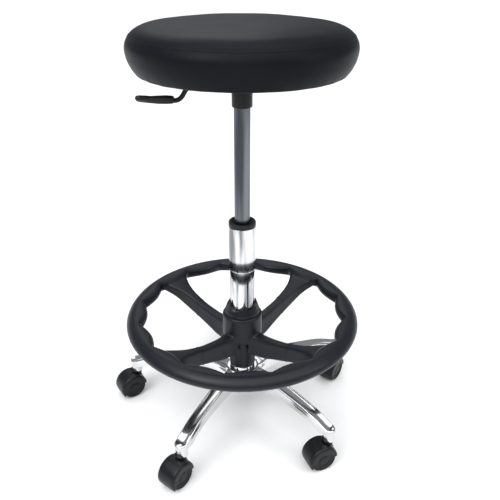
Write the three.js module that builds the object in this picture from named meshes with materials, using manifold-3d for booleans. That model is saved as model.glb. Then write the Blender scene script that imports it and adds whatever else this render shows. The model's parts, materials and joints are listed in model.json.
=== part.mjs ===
import * as THREE from 'three';
import { mergeVertices } from 'three/addons/utils/BufferGeometryUtils.js';
import Module from 'manifold-3d';

// A pedicure stool: round padded seat on a gas spring, chrome column, foot ring,
// five-star base and five twin-wheel casters. Millimetres, +Z up, floor at z = 0,
// the origin under the middle of the stool's outline. The casters trail to one side, so
// the column stands a little off that middle. The lever points to -X, -Y is the front.

// ---------------------------------------------------------------- driving sizes
const GAP = 0.3;                     // clearance between pieces that touch
const COLUMN_X = 21.7;               // the column's axis, from the middle of the outline
const COLUMN_Y = -11.2;

const SEAT_RADIUS = 186;
const SEAT_TOP = 763;                // crown of the cover
const SEAT_UNDERSIDE = 688.6;        // underside of the cover's turned-in hem
const COVER_THICKNESS = 2.6;
const BOARD_RADIUS = 165;
const BOARD_THICKNESS = 12;
const DUST_COVER_THICKNESS = 1.6;
const HEM_RADIUS = 151;              // inner edge of the stapled hem

const PLATE_LENGTH = 160;            // pressed steel seat plate, along X
const PLATE_WIDTH = 150;
const PLATE_SHEET = 2.8;
const PAN_LENGTH = 104;              // sunk pan that holds the lever
const PAN_WIDTH = 80;
const PAN_BOTTOM = 661.5;
const BOLT_X = 66;
const BOLT_Y = 60;
const BOLT_RADIUS = 3;

const RECEIVER_RADIUS = 17.35;
const RECEIVER_BORE = 14.35;
const RECEIVER_BOTTOM = 629;
const RECEIVER_TOP = 665.5;

const CYLINDER_RADIUS = 14;          // gas spring pressure tube
const CYLINDER_BORE = 12.6;
const CYLINDER_BOTTOM = 300;
const CYLINDER_TOP = 660;
const ROD_RADIUS = 5;
const ROD_BOTTOM = 50.6;
const ROD_TOP = 333;
const PISTON_BOTTOM = 318;
const PISTON_HEIGHT = 13;
const PIN_RADIUS = 4;
const PIN_TOP = 668;

const LEVER_RADIUS = 4;
const PIVOT_X = -30;                 // the lever rocks on a pin in the pan
const PIVOT_Z = 676;
const PADDLE_ROOT = -112;
const PADDLE_Z = 640.5;
const PADDLE_THICKNESS = 11;

const FLUTED_RADIUS = 23.25;         // lower tube with five grooves
const FLUTED_BORE = 19.6;
const COLUMN_BOTTOM = 54;
const TUBE_RADIUS = 25;              // upper plain tube
const TUBE_BORE = 23.6;
const TUBE_BOTTOM = 325;
const TUBE_TOP = 413.5;
const BUSH_BOTTOM = 374;
const BUSH_TOP = 423;
const GROOVES = 5;
const GROOVE_WIDTH = 3.4;
const GROOVE_DEPTH = 1.7;
const FIRST_GROOVE = -44;            // degrees from +X

const END_PLATE_TOP = 58;            // bearing stack inside the column's foot
const BEARING_RADIUS = 11;
const WASHER_THICKNESS = 1.7;
const CAGE_THICKNESS = 3;
const BUFFER_RADIUS = 13;
const BUFFER_TOP = 84;
const CLIP_RADIUS = 9;
const CLIP_BOTTOM = 51.6;

const COLLET_BORE = 23.9;
const COLLET_BOTTOM = 109;
const CROWN_TIP = 261;
const CROWN_ROOT = 243;              // lowest point of the cut-outs between the fingers
const COLLET_RADIUS = 25.4;
const COLLET_NECK = 27;              // where it fills the foot ring's hub
const COLLET_FLANGE = 33.6;          // rests on top of the hub

const RING_RADIUS = 223;
const RING_TOP = 235.5;
const RING_BOTTOM = 209;
const LOBE_RADIUS = 184;             // inner edge at a lobe
const CUSP_RADIUS = 197;             // inner edge between lobes
const LOBES = 16;
const SPOKES = 4;
const FIRST_SPOKE = 48;              // degrees from +X
const HUB_RADIUS = 38.5;
const HUB_BORE = 27.6;
const HUB_TOP = 229.8;
const HUB_BOTTOM = 172;
const RIM_CENTRE = 206;              // inside this radius the rim follows the lobes

const BASE_HUB_TOP = 101;
const BASE_HUB_BOTTOM = 50;
const BASE_HUB_RADIUS = 34;
const BASE_BORE = 23.9;
const STEM_CIRCLE = 229;             // radius from the column to a caster stem
const FIRST_LEG = 25.6;              // degrees from +X
const BOSS_RADIUS = 11.6;
const BOSS_BOTTOM = 56.6;
const SOCKET_RADIUS = 5.9;
const SOCKET_TOP = 78;
const NOSE_RADIUS = 12;
const LEG_START = 10;
const LEG_FLARE = 1.22;              // how much wider a leg is at its underside

const WHEEL_RADIUS = 25;
const WHEEL_INNER = 7.2;             // inner face, from the caster's middle plane
const WHEEL_OUTER = 18.2;
const TRAIL = 16;                    // stem axis to axle
const HOOD_RADIUS = 28.4;
const HOOD_HALF_WIDTH = 20;
const STEM_RADIUS = 5.5;
const AXLE_RADIUS = 3;
const STEM_BOTTOM = 34;
const STEM_TOP = 77.5;
const WHEEL_FLATS = 22;              // the tread rests on one of its flats
const SKIRT_OPENING = 21.5;          // radius of the cut that bares each wheel

// Which way each caster trails, in degrees from +X, one for each leg in turn.
const CASTER_HEADINGS = [232, 40, 214, 231, 202];

// ---------------------------------------------------------------- finishes
const finish = (color, roughness, metalness) =>
  new THREE.MeshStandardMaterial({ color, roughness, metalness });
const FINISH = {
  vinyl: () => finish(0x16181b, 0.5, 0),
  foam: () => finish(0xd9cf9f, 0.95, 0),
  plywood: () => finish(0xb08a58, 0.8, 0),
  fabric: () => finish(0x1c1c1e, 0.95, 0),
  blackSteel: () => finish(0x131416, 0.45, 0.6),
  greySteel: () => finish(0x9b9da0, 0.35, 0.9),
  steel: () => finish(0xbfc2c5, 0.3, 1),
  chrome: () => finish(0xe8eaec, 0.08, 1),
  aluminium: () => finish(0xd6d8da, 0.18, 1),
  nylon: () => finish(0x17191d, 0.5, 0),
  rubber: () => finish(0x101010, 0.9, 0),
};

// ---------------------------------------------------------------- solids
const wasm = await Module();
wasm.setup();

/** Radians for an angle in degrees. */
const rad = (degrees) => THREE.MathUtils.degToRad(degrees);

/** A closed geometry as a manifold solid with its faces pointing out. */
function solidOf(geometry) {
  const bare = new THREE.BufferGeometry();
  bare.setAttribute('position', geometry.getAttribute('position').clone());
  if (geometry.index) bare.setIndex(geometry.index.clone());
  const welded = mergeVertices(bare, 1e-4);
  const place = welded.getAttribute('position').array;
  const index = welded.index.array;
  const corner = (i) => new THREE.Vector3().fromArray(place, 3 * i);
  const kept = [];
  let volume = 0;
  for (let i = 0; i < index.length; i += 3) {
    const [a, b, c] = [index[i], index[i + 1], index[i + 2]];
    if (a === b || b === c || c === a) continue;
    kept.push(a, b, c);
    volume += corner(a).dot(corner(b).cross(corner(c)));
  }
  if (volume < 0) kept.reverse();
  return new wasm.Manifold(new wasm.Mesh({
    numProp: 3,
    vertProperties: Float32Array.from(place),
    triVerts: Uint32Array.from(kept),
  }));
}

/** A manifold solid as a three.js geometry. */
function geometryOf(solid) {
  const mesh = solid.getMesh();
  const geometry = new THREE.BufferGeometry();
  geometry.setAttribute('position', new THREE.BufferAttribute(mesh.vertProperties, 3));
  geometry.setIndex(new THREE.BufferAttribute(mesh.triVerts, 1));
  return geometry;
}

/** A profile of [radius, height] points turned round the Z axis. */
function turned(points, segments = 32) {
  const profile = points.map(([r, z]) => new THREE.Vector2(r, z));
  return new THREE.LatheGeometry(profile, segments).rotateX(Math.PI / 2);
}

/** A closed ring section of [radius, height] points turned round the Z axis. */
const turnedRing = (points, segments) => turned([...points, points[0]], segments);

/** A plain cylinder standing on the Z axis between two heights. */
function post(radius, bottom, top, segments = 24) {
  const geometry = new THREE.CylinderGeometry(radius, radius, top - bottom, segments);
  return geometry.rotateX(Math.PI / 2).translate(0, 0, (top + bottom) / 2);
}

/** A cylinder lying along Y between two places. */
function pinAlongY(radius, from, to, segments = 20) {
  const geometry = new THREE.CylinderGeometry(radius, radius, to - from, segments);
  return geometry.translate(0, (to + from) / 2, 0);
}

/** A straight tube wall between two heights. */
function sleeve(outer, inner, bottom, top, segments = 32) {
  return turnedRing([[inner, bottom], [outer, bottom], [outer, top], [inner, top]], segments);
}

/** A box from its middle and its three lengths. */
function block(x, y, z, length, width, height) {
  return new THREE.BoxGeometry(length, width, height).translate(x, y, z);
}

/** A closed bar through stations along X, each [x, half width at the top, at the bottom, top, bottom]. */
function bar(stations) {
  const geometry = new THREE.BoxGeometry(2, 2, 2, stations.length - 1, 1, 1);
  const places = geometry.getAttribute('position');
  for (let i = 0; i < places.count; i += 1) {
    const [station, onTop] = [(places.getX(i) + 1) / 2 * (stations.length - 1), places.getZ(i) > 0];
    const [x, topHalf, bottomHalf, top, bottom] = stations[Math.round(station)];
    places.setXYZ(i, x, places.getY(i) * (onTop ? topHalf : bottomHalf), onTop ? top : bottom);
  }
  return geometry;
}

/** The value at x on straight stretches between [x, value] points. */
function along(points, x) {
  const after = points.findIndex(([at]) => at >= x);
  if (after === 0) return points[0][1];
  if (after < 0) return points[points.length - 1][1];
  const [x0, y0] = points[after - 1];
  const [x1, y1] = points[after];
  return y0 + (y1 - y0) * (x - x0) / (x1 - x0);
}

// Everything is placed from the column's axis, and the whole is then moved to the origin.
const stool = new THREE.Group();
stool.position.set(COLUMN_X, COLUMN_Y, 0);

/** Names a piece, gives it its finish and adds it to a group, with its faces pointing out. */
function add(name, shape, material, group = stool) {
  const solid = shape instanceof THREE.BufferGeometry ? solidOf(shape) : shape;
  const mesh = new THREE.Mesh(geometryOf(solid), material);
  mesh.name = name;
  group.add(mesh);
  return mesh;
}

// ---------------------------------------------------------------- seat
const hemTop = SEAT_UNDERSIDE + DUST_COVER_THICKNESS;
const boardBottom = hemTop + 0.4;
const boardTop = boardBottom + BOARD_THICKNESS;
const R = SEAT_RADIUS;
const T = SEAT_TOP;

// The cover: a crowned top, a rounded edge and a side that pulls in underneath.
const coverOutside = [
  [0, T], [80, T - 0.7], [R - 42, T - 2], [R - 17, T - 8], [R - 4, T - 18],
  [R, T - 32], [R - 2.5, T - 51], [R - 9, T - 64], [R - 18, T - 72],
  [R - 21, SEAT_UNDERSIDE], [HEM_RADIUS, SEAT_UNDERSIDE],
];
const coverInside = [
  [HEM_RADIUS, hemTop], [R - 20.2, hemTop], [R - 19.2, T - 69], [R - 11.5, T - 62],
  [R - 5.4, T - 50], [R - 3, T - 32], [R - 6.6, T - 19], [R - 18.6, T - 10],
  [R - 42.5, T - 2 - COVER_THICKNESS], [0, T - COVER_THICKNESS],
];
add('seat_cover', turned([...coverOutside, ...coverInside], 32), FINISH.vinyl());

const foamSection = [
  [0, boardTop + GAP], [BOARD_RADIUS, boardTop + GAP], [R - 12, T - 58.5],
  [R - 6, T - 50], [R - 3.7, T - 32], [R - 7.2, T - 19.4], [R - 19, T - 10.6],
  [R - 43, T - 5.2], [0, T - COVER_THICKNESS - 0.4],
];
add('seat_foam', turned(foamSection, 32), FINISH.foam());

/** The four bolt places under the seat. */
const boltPlaces = [[1, 1], [-1, 1], [-1, -1], [1, -1]]
  .map(([x, y]) => [x * BOLT_X, y * BOLT_Y]);

/** A solid with the four bolt holes taken out of it. */
function withBoltHoles(solid, bottom, top) {
  let drilled = solid;
  for (const [x, y] of boltPlaces) {
    drilled = drilled.subtract(solidOf(post(BOLT_RADIUS + 0.4, bottom, top, 12).translate(x, y, 0)));
  }
  return drilled;
}

const board = solidOf(post(BOARD_RADIUS, boardBottom, boardTop, 30));
add('seat_board', withBoltHoles(board, boardBottom - 1, boardTop + 1), FINISH.plywood());

const dustCover = solidOf(post(HEM_RADIUS - 1, SEAT_UNDERSIDE, hemTop, 30));
add('dust_cover', withBoltHoles(dustCover, SEAT_UNDERSIDE - 1, hemTop + 1), FINISH.fabric());

// ---------------------------------------------------------------- seat plate
const plateTop = SEAT_UNDERSIDE - 0.4;
const plateBottom = plateTop - PLATE_SHEET;
const panHeight = plateTop - PAN_BOTTOM;
const slotHalfWidth = 7;

const flange = solidOf(block(0, 0, plateTop - PLATE_SHEET / 2, PLATE_LENGTH, PLATE_WIDTH, PLATE_SHEET));
const panOutside = solidOf(block(0, 0, PAN_BOTTOM + panHeight / 2, PAN_LENGTH, PAN_WIDTH, panHeight));
const panInside = solidOf(block(0, 0, PAN_BOTTOM + PLATE_SHEET + panHeight / 2,
  PAN_LENGTH - 2 * PLATE_SHEET, PAN_WIDTH - 2 * PLATE_SHEET, panHeight));
const leverSlot = solidOf(block(-PAN_LENGTH / 2, 0, PIVOT_Z + 2, 12, 2 * slotHalfWidth, 22));
const receiverHole = solidOf(post(RECEIVER_RADIUS + 0.35, PAN_BOTTOM - 2, RECEIVER_TOP, 32));
const pan = flange.add(panOutside).subtract(panInside).subtract(leverSlot).subtract(receiverHole);
add('seat_plate', withBoltHoles(pan, plateBottom - 1, plateTop + 1), FINISH.blackSteel());

add('receiver_tube', turnedRing([
  [RECEIVER_BORE, RECEIVER_BOTTOM], [RECEIVER_RADIUS - 1.2, RECEIVER_BOTTOM],
  [RECEIVER_RADIUS, RECEIVER_BOTTOM + 1.6], [RECEIVER_RADIUS, RECEIVER_TOP],
  [RECEIVER_BORE, RECEIVER_TOP],
], 24), FINISH.blackSteel());

boltPlaces.forEach(([x, y], i) => {
  const head = solidOf(post(5.8, plateBottom - GAP - 4.2, plateBottom - GAP, 6));
  const shank = solidOf(post(BOLT_RADIUS, plateBottom - 1, boardTop - 2, 12));
  add(`seat_bolt_${i + 1}`, geometryOf(head.add(shank)).translate(x, y, 0), FINISH.steel());
});

// ---------------------------------------------------------------- lever
const LEVER_END = [[-116, 639.2], [-107, 639.6], [-99, 645], [-91, 657], [-80, 667]];

const leverPath = new THREE.CatmullRomCurve3([
  ...LEVER_END, [-62, 673.6], [-45, PIVOT_Z], [PIVOT_X, PIVOT_Z],
  [-15, PIVOT_Z - 1.4], [0, PIN_TOP + GAP + LEVER_RADIUS], [7, PIN_TOP + GAP + LEVER_RADIUS],
].map(([x, z]) => new THREE.Vector3(x, 0, z)));
const leverSection = new THREE.Shape().absarc(0, 0, LEVER_RADIUS, 0, 2 * Math.PI);
const leverBar = new THREE.ExtrudeGeometry(leverSection, {
  extrudePath: leverPath, steps: 20, curveSegments: 4, bevelEnabled: false,
});
const pivotSleeve = pinAlongY(6.6, -9, 9).translate(PIVOT_X, 0, PIVOT_Z);
const pivotBore = pinAlongY(3.3, -12, 12).translate(PIVOT_X, 0, PIVOT_Z);
const leverRod = solidOf(leverBar).add(solidOf(pivotSleeve)).subtract(solidOf(pivotBore));
const pivotPin = pinAlongY(3, -PAN_WIDTH / 2 + PLATE_SHEET + GAP, PAN_WIDTH / 2 - PLATE_SHEET - GAP);
add('lever_rod', leverRod, FINISH.blackSteel());
add('lever_pivot_pin', pivotPin.translate(PIVOT_X, 0, PIVOT_Z), FINISH.steel());

// A flat grip with a waist, pushed over the end of the rod.
const paddleOutline = new THREE.Shape();
const halfHeights = [[0, 4.6], [5, 6.4], [16, 7], [34, 5.2], [50, 6.6], [58, 6.4], [63, 3.2]];
paddleOutline.moveTo(0, -halfHeights[0][1]);
halfHeights.slice(1).forEach(([s, h]) => paddleOutline.lineTo(-s, -h));
[...halfHeights].reverse().forEach(([s, h]) => paddleOutline.lineTo(-s, h));
const paddleBody = new THREE.ExtrudeGeometry(paddleOutline, {
  depth: PADDLE_THICKNESS, bevelEnabled: false,
});
paddleBody.rotateX(Math.PI / 2).translate(PADDLE_ROOT, PADDLE_THICKNESS / 2, PADDLE_Z);
const rodSocket = new THREE.CylinderGeometry(LEVER_RADIUS + 0.5, LEVER_RADIUS + 0.5, 14, 16);
rodSocket.rotateZ(Math.PI / 2).translate(PADDLE_ROOT + 2.4, 0, PADDLE_Z - 1.2);
add('lever_paddle', solidOf(paddleBody).subtract(solidOf(rodSocket)), FINISH.nylon());

// ---------------------------------------------------------------- gas spring
add('gas_cylinder', turnedRing([
  [CYLINDER_BORE, CYLINDER_BOTTOM], [CYLINDER_RADIUS, CYLINDER_BOTTOM],
  [CYLINDER_RADIUS, CYLINDER_TOP - 2], [CYLINDER_RADIUS - 1.5, CYLINDER_TOP],
  [PIN_RADIUS + 0.4, CYLINDER_TOP], [PIN_RADIUS + 0.4, CYLINDER_TOP - 8],
  [CYLINDER_BORE, CYLINDER_TOP - 8],
], 24), FINISH.greySteel());
add('rod_guide_seal', sleeve(CYLINDER_BORE - GAP, ROD_RADIUS + GAP, CYLINDER_BOTTOM + 1,
  CYLINDER_BOTTOM + 14, 24), FINISH.rubber());
add('piston_rod', post(ROD_RADIUS, ROD_BOTTOM, ROD_TOP, 20), FINISH.steel());
add('piston', sleeve(CYLINDER_BORE - GAP, ROD_RADIUS + GAP, PISTON_BOTTOM,
  PISTON_BOTTOM + PISTON_HEIGHT, 24), FINISH.nylon());
add('release_pin', post(PIN_RADIUS, CYLINDER_TOP - 7, PIN_TOP, 16), FINISH.steel());

// ---------------------------------------------------------------- column
const grooveAngles = Array.from({ length: GROOVES }, (_, i) => FIRST_GROOVE + i * 360 / GROOVES);

/** Outline of the fluted tube: a circle with a square-shouldered groove at each angle. */
function flutedOutline() {
  const shape = new THREE.Shape();
  const halfAngle = Math.asin(GROOVE_WIDTH / 2 / FLUTED_RADIUS);
  const floor = FLUTED_RADIUS - GROOVE_DEPTH;
  const arcSteps = 7;
  grooveAngles.forEach((degrees, i) => {
    const at = rad(degrees);
    const span = 2 * Math.PI / GROOVES - 2 * halfAngle;
    const points = [[floor, at - halfAngle * 0.8], [floor, at + halfAngle * 0.8]];
    for (let k = 0; k <= arcSteps; k += 1) {
      points.push([FLUTED_RADIUS, at + halfAngle + span * k / arcSteps]);
    }
    points.forEach(([r, a], k) => {
      const pen = i === 0 && k === 0 ? 'moveTo' : 'lineTo';
      shape[pen](r * Math.cos(a), r * Math.sin(a));
    });
  });
  shape.holes.push(new THREE.Path().absarc(0, 0, FLUTED_BORE, 0, 2 * Math.PI, true));
  return shape;
}

const flutedTube = new THREE.ExtrudeGeometry(flutedOutline(), {
  depth: TUBE_TOP - COLUMN_BOTTOM, curveSegments: 14, bevelEnabled: false,
});
add('fluted_column', flutedTube.translate(0, 0, COLUMN_BOTTOM), FINISH.chrome());
add('column_tube', turnedRing([
  [TUBE_BORE, TUBE_BOTTOM], [TUBE_RADIUS - 1.2, TUBE_BOTTOM], [TUBE_RADIUS, TUBE_BOTTOM + 2.5],
  [TUBE_RADIUS, TUBE_TOP], [TUBE_BORE, TUBE_TOP],
], 32), FINISH.chrome());
const bushBore = CYLINDER_RADIUS + 0.35;
add('guide_bush', turnedRing([
  [bushBore, BUSH_BOTTOM], [FLUTED_BORE - 0.4, BUSH_BOTTOM], [FLUTED_BORE - 0.4, TUBE_TOP + GAP],
  [TUBE_RADIUS, TUBE_TOP + GAP], [TUBE_RADIUS, BUSH_TOP - 1], [TUBE_RADIUS - 1, BUSH_TOP],
  [TUBE_RADIUS - 3.4, BUSH_TOP], [bushBore + 1, BUSH_TOP - 5.5], [bushBore, BUSH_TOP - 5.5],
], 28), FINISH.nylon());

// The rod stands on a thrust bearing on the column's end plate, under a rubber buffer.
const floorOfTube = FLUTED_BORE - 0.5;
const rodHole = ROD_RADIUS + 0.4;
const lowerWasher = END_PLATE_TOP + GAP;
const ballCage = lowerWasher + WASHER_THICKNESS + GAP;
const upperWasher = ballCage + CAGE_THICKNESS + GAP;
const buffer = upperWasher + WASHER_THICKNESS + GAP;

/** A bearing ring round the rod, from its underside and thickness. */
const bearing = (bottom, thickness) => sleeve(BEARING_RADIUS, rodHole, bottom, bottom + thickness, 20);
add('column_end_plate', sleeve(floorOfTube, rodHole, COLUMN_BOTTOM, END_PLATE_TOP, 28), FINISH.steel());
add('thrust_washer_lower', bearing(lowerWasher, WASHER_THICKNESS), FINISH.steel());
add('thrust_ball_cage', bearing(ballCage, CAGE_THICKNESS), FINISH.steel());
add('thrust_washer_upper', bearing(upperWasher, WASHER_THICKNESS), FINISH.steel());
add('rubber_buffer', sleeve(BUFFER_RADIUS, rodHole, buffer, BUFFER_TOP, 20), FINISH.rubber());
add('retaining_clip', sleeve(CLIP_RADIUS, rodHole, CLIP_BOTTOM, COLUMN_BOTTOM - GAP, 20), FINISH.steel());

// ---------------------------------------------------------------- foot ring
// The ring's inner edge swells inwards in lobes, with a cusp between each two.
const lobePhase = rad(FIRST_SPOKE);
const innerRadius = (angle) => {
  const swell = Math.abs(Math.cos(LOBES / 2 * (angle - lobePhase)));
  return CUSP_RADIUS - (CUSP_RADIUS - LOBE_RADIUS) * swell;
};
const rimSection = [
  [LOBE_RADIUS, 229], [LOBE_RADIUS + 4, 233.6], [202, RING_TOP], [215, RING_TOP - 3],
  [RING_RADIUS, RING_TOP - 12], [RING_RADIUS - 2.5, RING_BOTTOM + 4.5],
  [RING_RADIUS - 10, RING_BOTTOM], [199, RING_BOTTOM], [LOBE_RADIUS + 4, RING_BOTTOM + 6],
];
const rim = turnedRing(rimSection, 4 * LOBES).rotateZ(lobePhase);
const rimPlaces = rim.getAttribute('position');
for (let i = 0; i < rimPlaces.count; i += 1) {
  const [x, y] = [rimPlaces.getX(i), rimPlaces.getY(i)];
  const r = Math.hypot(x, y);
  if (r > RIM_CENTRE) continue;
  const share = (RIM_CENTRE - r) / (RIM_CENTRE - LOBE_RADIUS);
  const moved = r + share * (innerRadius(Math.atan2(y, x)) - LOBE_RADIUS);
  rimPlaces.setXY(i, x * moved / r, y * moved / r);
}

// A spoke is a deep rib that droops from the rim to the hub: [radius, height] and [radius, half width].
const spokeTop = [[30, 191], [60, 193], [85, 196.5], [107, 201], [142, 212], [165, 221], [200, 229]];
const spokeBottom = [
  [30, 145], [65, 151], [107, 166], [130, 175], [155, 186], [180, 204], [200, 214],
];
const spokeHalfWidth = [
  [30, 17], [45, 13], [65, 11], [107, 10], [142, 12], [165, 17], [182, 26], [200, 34],
];

/** One spoke, pointing along +X. */
function spoke() {
  return bar(spokeHalfWidth.map(([x, half]) => [
    x, half, half, along(spokeTop, x), along(spokeBottom, x),
  ]));
}

let footRing = solidOf(rim).add(solidOf(turned([
  [0, HUB_BOTTOM], [HUB_RADIUS - 2.5, HUB_BOTTOM], [HUB_RADIUS, 186], [HUB_RADIUS, HUB_TOP - 4],
  [HUB_RADIUS - 3, HUB_TOP], [0, HUB_TOP],
], 30)));
for (let i = 0; i < SPOKES; i += 1) {
  footRing = footRing.add(solidOf(spoke().rotateZ(rad(FIRST_SPOKE + i * 360 / SPOKES))));
}
const hubBore = solidOf(post(HUB_BORE, HUB_BOTTOM - 40, HUB_TOP + 2, 30));
add('foot_ring', footRing.subtract(hubBore), FINISH.nylon());

// The collet: a sleeve keyed into the column's grooves, with a crown of five fingers.
let collet = solidOf(turnedRing([
  [COLLET_BORE, COLLET_BOTTOM], [COLLET_RADIUS, COLLET_BOTTOM], [COLLET_RADIUS, HUB_BOTTOM - 5],
  [COLLET_NECK, HUB_BOTTOM - 1], [COLLET_NECK, HUB_TOP + 0.2], [COLLET_FLANGE, HUB_TOP + 0.4],
  [COLLET_FLANGE, HUB_TOP + 5.8], [COLLET_FLANGE - 1.6, HUB_TOP + 9.7], [26.2, CROWN_TIP],
  [COLLET_BORE, CROWN_TIP],
], 30));
for (const degrees of grooveAngles) {
  const key = block(FLUTED_RADIUS + 0.2, 0, 180, 2.2, 2, 80).rotateZ(rad(degrees));
  const notchOutline = new THREE.Shape().absellipse(0, 0, 14.9, CROWN_TIP - CROWN_ROOT, 0, 2 * Math.PI);
  const notch = new THREE.ExtrudeGeometry(notchOutline, {
    depth: 40, curveSegments: 6, bevelEnabled: false,
  });
  notch.rotateX(Math.PI / 2).rotateZ(Math.PI / 2).translate(0, 0, CROWN_TIP);
  collet = collet.add(solidOf(key)).subtract(solidOf(notch.rotateZ(rad(degrees))));
}
add('ring_collet', collet, FINISH.nylon());

// ---------------------------------------------------------------- five-star base
// Along a leg: [radius, height] of its top and underside, and [radius, half width] of its top.
const legTop = [
  [10, 100], [30, 100.5], [45, 104.5], [62, 108.5], [80, 110.5], [106, 110], [150, 105],
  [185, 99.5], [210, 91.5], [227, 85], [245, 82],
];
const legBottom = [[10, 84], [75, 88], [150, 88], [190, 82], [215, 73], [245, 69]];
const legHalfWidth = [[10, 24], [35, 19], [60, 14.5], [106, 12.8], [185, 11.8], [STEM_CIRCLE, 12]];

/** One leg, pointing along +X: an arched top, flared sides and a round nose over the caster stem. */
function leg() {
  const sides = [LEG_START, 30, 45, 62, 80, 106, 150, 185, 200, 215, STEM_CIRCLE];
  const stations = sides.map((x) => [x, along(legHalfWidth, x)]);
  for (const turn of [20, 40, 60, 75, 86]) {
    const angle = rad(turn);
    stations.push([STEM_CIRCLE + NOSE_RADIUS * Math.sin(angle), NOSE_RADIUS * Math.cos(angle)]);
  }
  return bar(stations.map(([x, half]) => {
    const flare = Math.min(LEG_FLARE, 1 + (LEG_FLARE - 1) * Math.max(0, (STEM_CIRCLE - x) / 14));
    return [x, half, half * flare, along(legTop, x), along(legBottom, x)];
  }));
}

const legAngles = CASTER_HEADINGS.map((_, i) => FIRST_LEG + i * 72);
let base = solidOf(turned([
  [0, BASE_HUB_BOTTOM], [BASE_HUB_RADIUS - 4, BASE_HUB_BOTTOM], [BASE_HUB_RADIUS - 2, 62],
  [BASE_HUB_RADIUS, 84], [BASE_HUB_RADIUS, BASE_HUB_TOP - 5], [BASE_HUB_RADIUS - 3, BASE_HUB_TOP],
  [0, BASE_HUB_TOP],
], 30));
for (const degrees of legAngles) {
  const boss = post(BOSS_RADIUS, BOSS_BOTTOM, 80, 16).translate(STEM_CIRCLE, 0, 0);
  const socket = post(SOCKET_RADIUS, BOSS_BOTTOM - 1, SOCKET_TOP, 10).translate(STEM_CIRCLE, 0, 0);
  base = base.add(solidOf(leg().rotateZ(rad(degrees)))).add(solidOf(boss.rotateZ(rad(degrees))));
  base = base.subtract(solidOf(socket.rotateZ(rad(degrees))));
}
const baseBore = post(BASE_BORE, BASE_HUB_BOTTOM - 2, BASE_HUB_TOP + 2, 30);
add('star_base', base.subtract(solidOf(baseBore)), FINISH.aluminium());

// ---------------------------------------------------------------- casters
/** A wheel on the Y axis, its outer face towards +Y, resting on one flat of its tread. */
function wheel() {
  const bore = AXLE_RADIUS + 0.4;
  const corner = WHEEL_RADIUS / Math.cos(Math.PI / WHEEL_FLATS);
  return turnedRing([
    [bore, WHEEL_INNER], [corner, WHEEL_INNER], [corner, WHEEL_OUTER - 3],
    [corner - 2.6, WHEEL_OUTER], [bore, WHEEL_OUTER - 0.6],
  ], WHEEL_FLATS).rotateX(-Math.PI / 2).rotateY(Math.PI / WHEEL_FLATS);
}

/** The hood: a rounded shell over both wheels with a web between them. */
function hood() {
  const outline = new THREE.Shape();
  const tailAngle = rad(-32);
  const noseAngle = rad(172);
  outline.absarc(TRAIL, WHEEL_RADIUS, HOOD_RADIUS, tailAngle, noseAngle);
  outline.lineTo(TRAIL - 16, WHEEL_RADIUS - 4);
  outline.lineTo(TRAIL, WHEEL_RADIUS - 10);
  outline.lineTo(TRAIL + 10, WHEEL_RADIUS - 12);
  const body = new THREE.ExtrudeGeometry(outline, {
    depth: 2 * HOOD_HALF_WIDTH, curveSegments: 14, bevelEnabled: false,
  });
  body.rotateX(Math.PI / 2).translate(0, HOOD_HALF_WIDTH, 0);
  let shell = solidOf(body).add(solidOf(post(9, 44, BOSS_BOTTOM - 0.5, 12)));
  const clearRadius = WHEEL_RADIUS + 0.9;
  const skirtInside = WHEEL_OUTER + 0.5;
  for (const side of [1, -1]) {
    const [from, to] = side > 0 ? [WHEEL_INNER - 0.5, skirtInside] : [-skirtInside, 0.5 - WHEEL_INNER];
    const room = pinAlongY(clearRadius, from, to, 20).translate(TRAIL, 0, WHEEL_RADIUS);
    const outward = side > 0 ? [skirtInside - 1, 30] : [-30, 1 - skirtInside];
    const opening = pinAlongY(SKIRT_OPENING, ...outward, 16).translate(TRAIL - 4, 0, WHEEL_RADIUS - 8);
    shell = shell.subtract(solidOf(room)).subtract(solidOf(opening));
  }
  const socket = post(STEM_RADIUS + 0.5, STEM_BOTTOM - 1, BOSS_BOTTOM + 1, 10);
  const axleBore = pinAlongY(AXLE_RADIUS + 0.4, -12, 12, 8).translate(TRAIL, 0, WHEEL_RADIUS);
  return shell.subtract(solidOf(socket)).subtract(solidOf(axleBore));
}

const hoodShape = geometryOf(hood());
const wheelShape = wheel();
const axleShape = pinAlongY(AXLE_RADIUS, -WHEEL_OUTER + 1.4, WHEEL_OUTER - 1.4, 10);
const stemShape = turned([
  [0, STEM_BOTTOM], [STEM_RADIUS, STEM_BOTTOM], [STEM_RADIUS, STEM_TOP - 5.5],
  [STEM_RADIUS - 0.9, STEM_TOP - 4.7], [STEM_RADIUS - 0.9, STEM_TOP - 2.5],
  [STEM_RADIUS, STEM_TOP - 1.7], [STEM_RADIUS - 1.5, STEM_TOP], [0, STEM_TOP],
], 12);

CASTER_HEADINGS.forEach((heading, i) => {
  const at = rad(legAngles[i]);
  const caster = new THREE.Group();
  caster.position.set(STEM_CIRCLE * Math.cos(at), STEM_CIRCLE * Math.sin(at), 0);
  caster.rotation.z = rad(heading);
  stool.add(caster);
  const name = `caster_${i + 1}`;
  add(`${name}_stem`, stemShape.clone(), FINISH.steel(), caster);
  add(`${name}_hood`, hoodShape.clone(), FINISH.nylon(), caster);
  const axle = add(`${name}_axle`, axleShape.clone(), FINISH.steel(), caster);
  const left = add(`${name}_wheel_left`, wheelShape.clone(), FINISH.nylon(), caster);
  const right = add(`${name}_wheel_right`, wheelShape.clone(), FINISH.nylon(), caster);
  right.rotation.z = Math.PI;
  for (const piece of [axle, left, right]) piece.position.set(TRAIL, 0, WHEEL_RADIUS);
});

export default stool;
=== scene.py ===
import json
import math

import bmesh
import bpy
import numpy as np
from mathutils import Matrix, Vector
from mathutils.bvhtree import BVHTree


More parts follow.
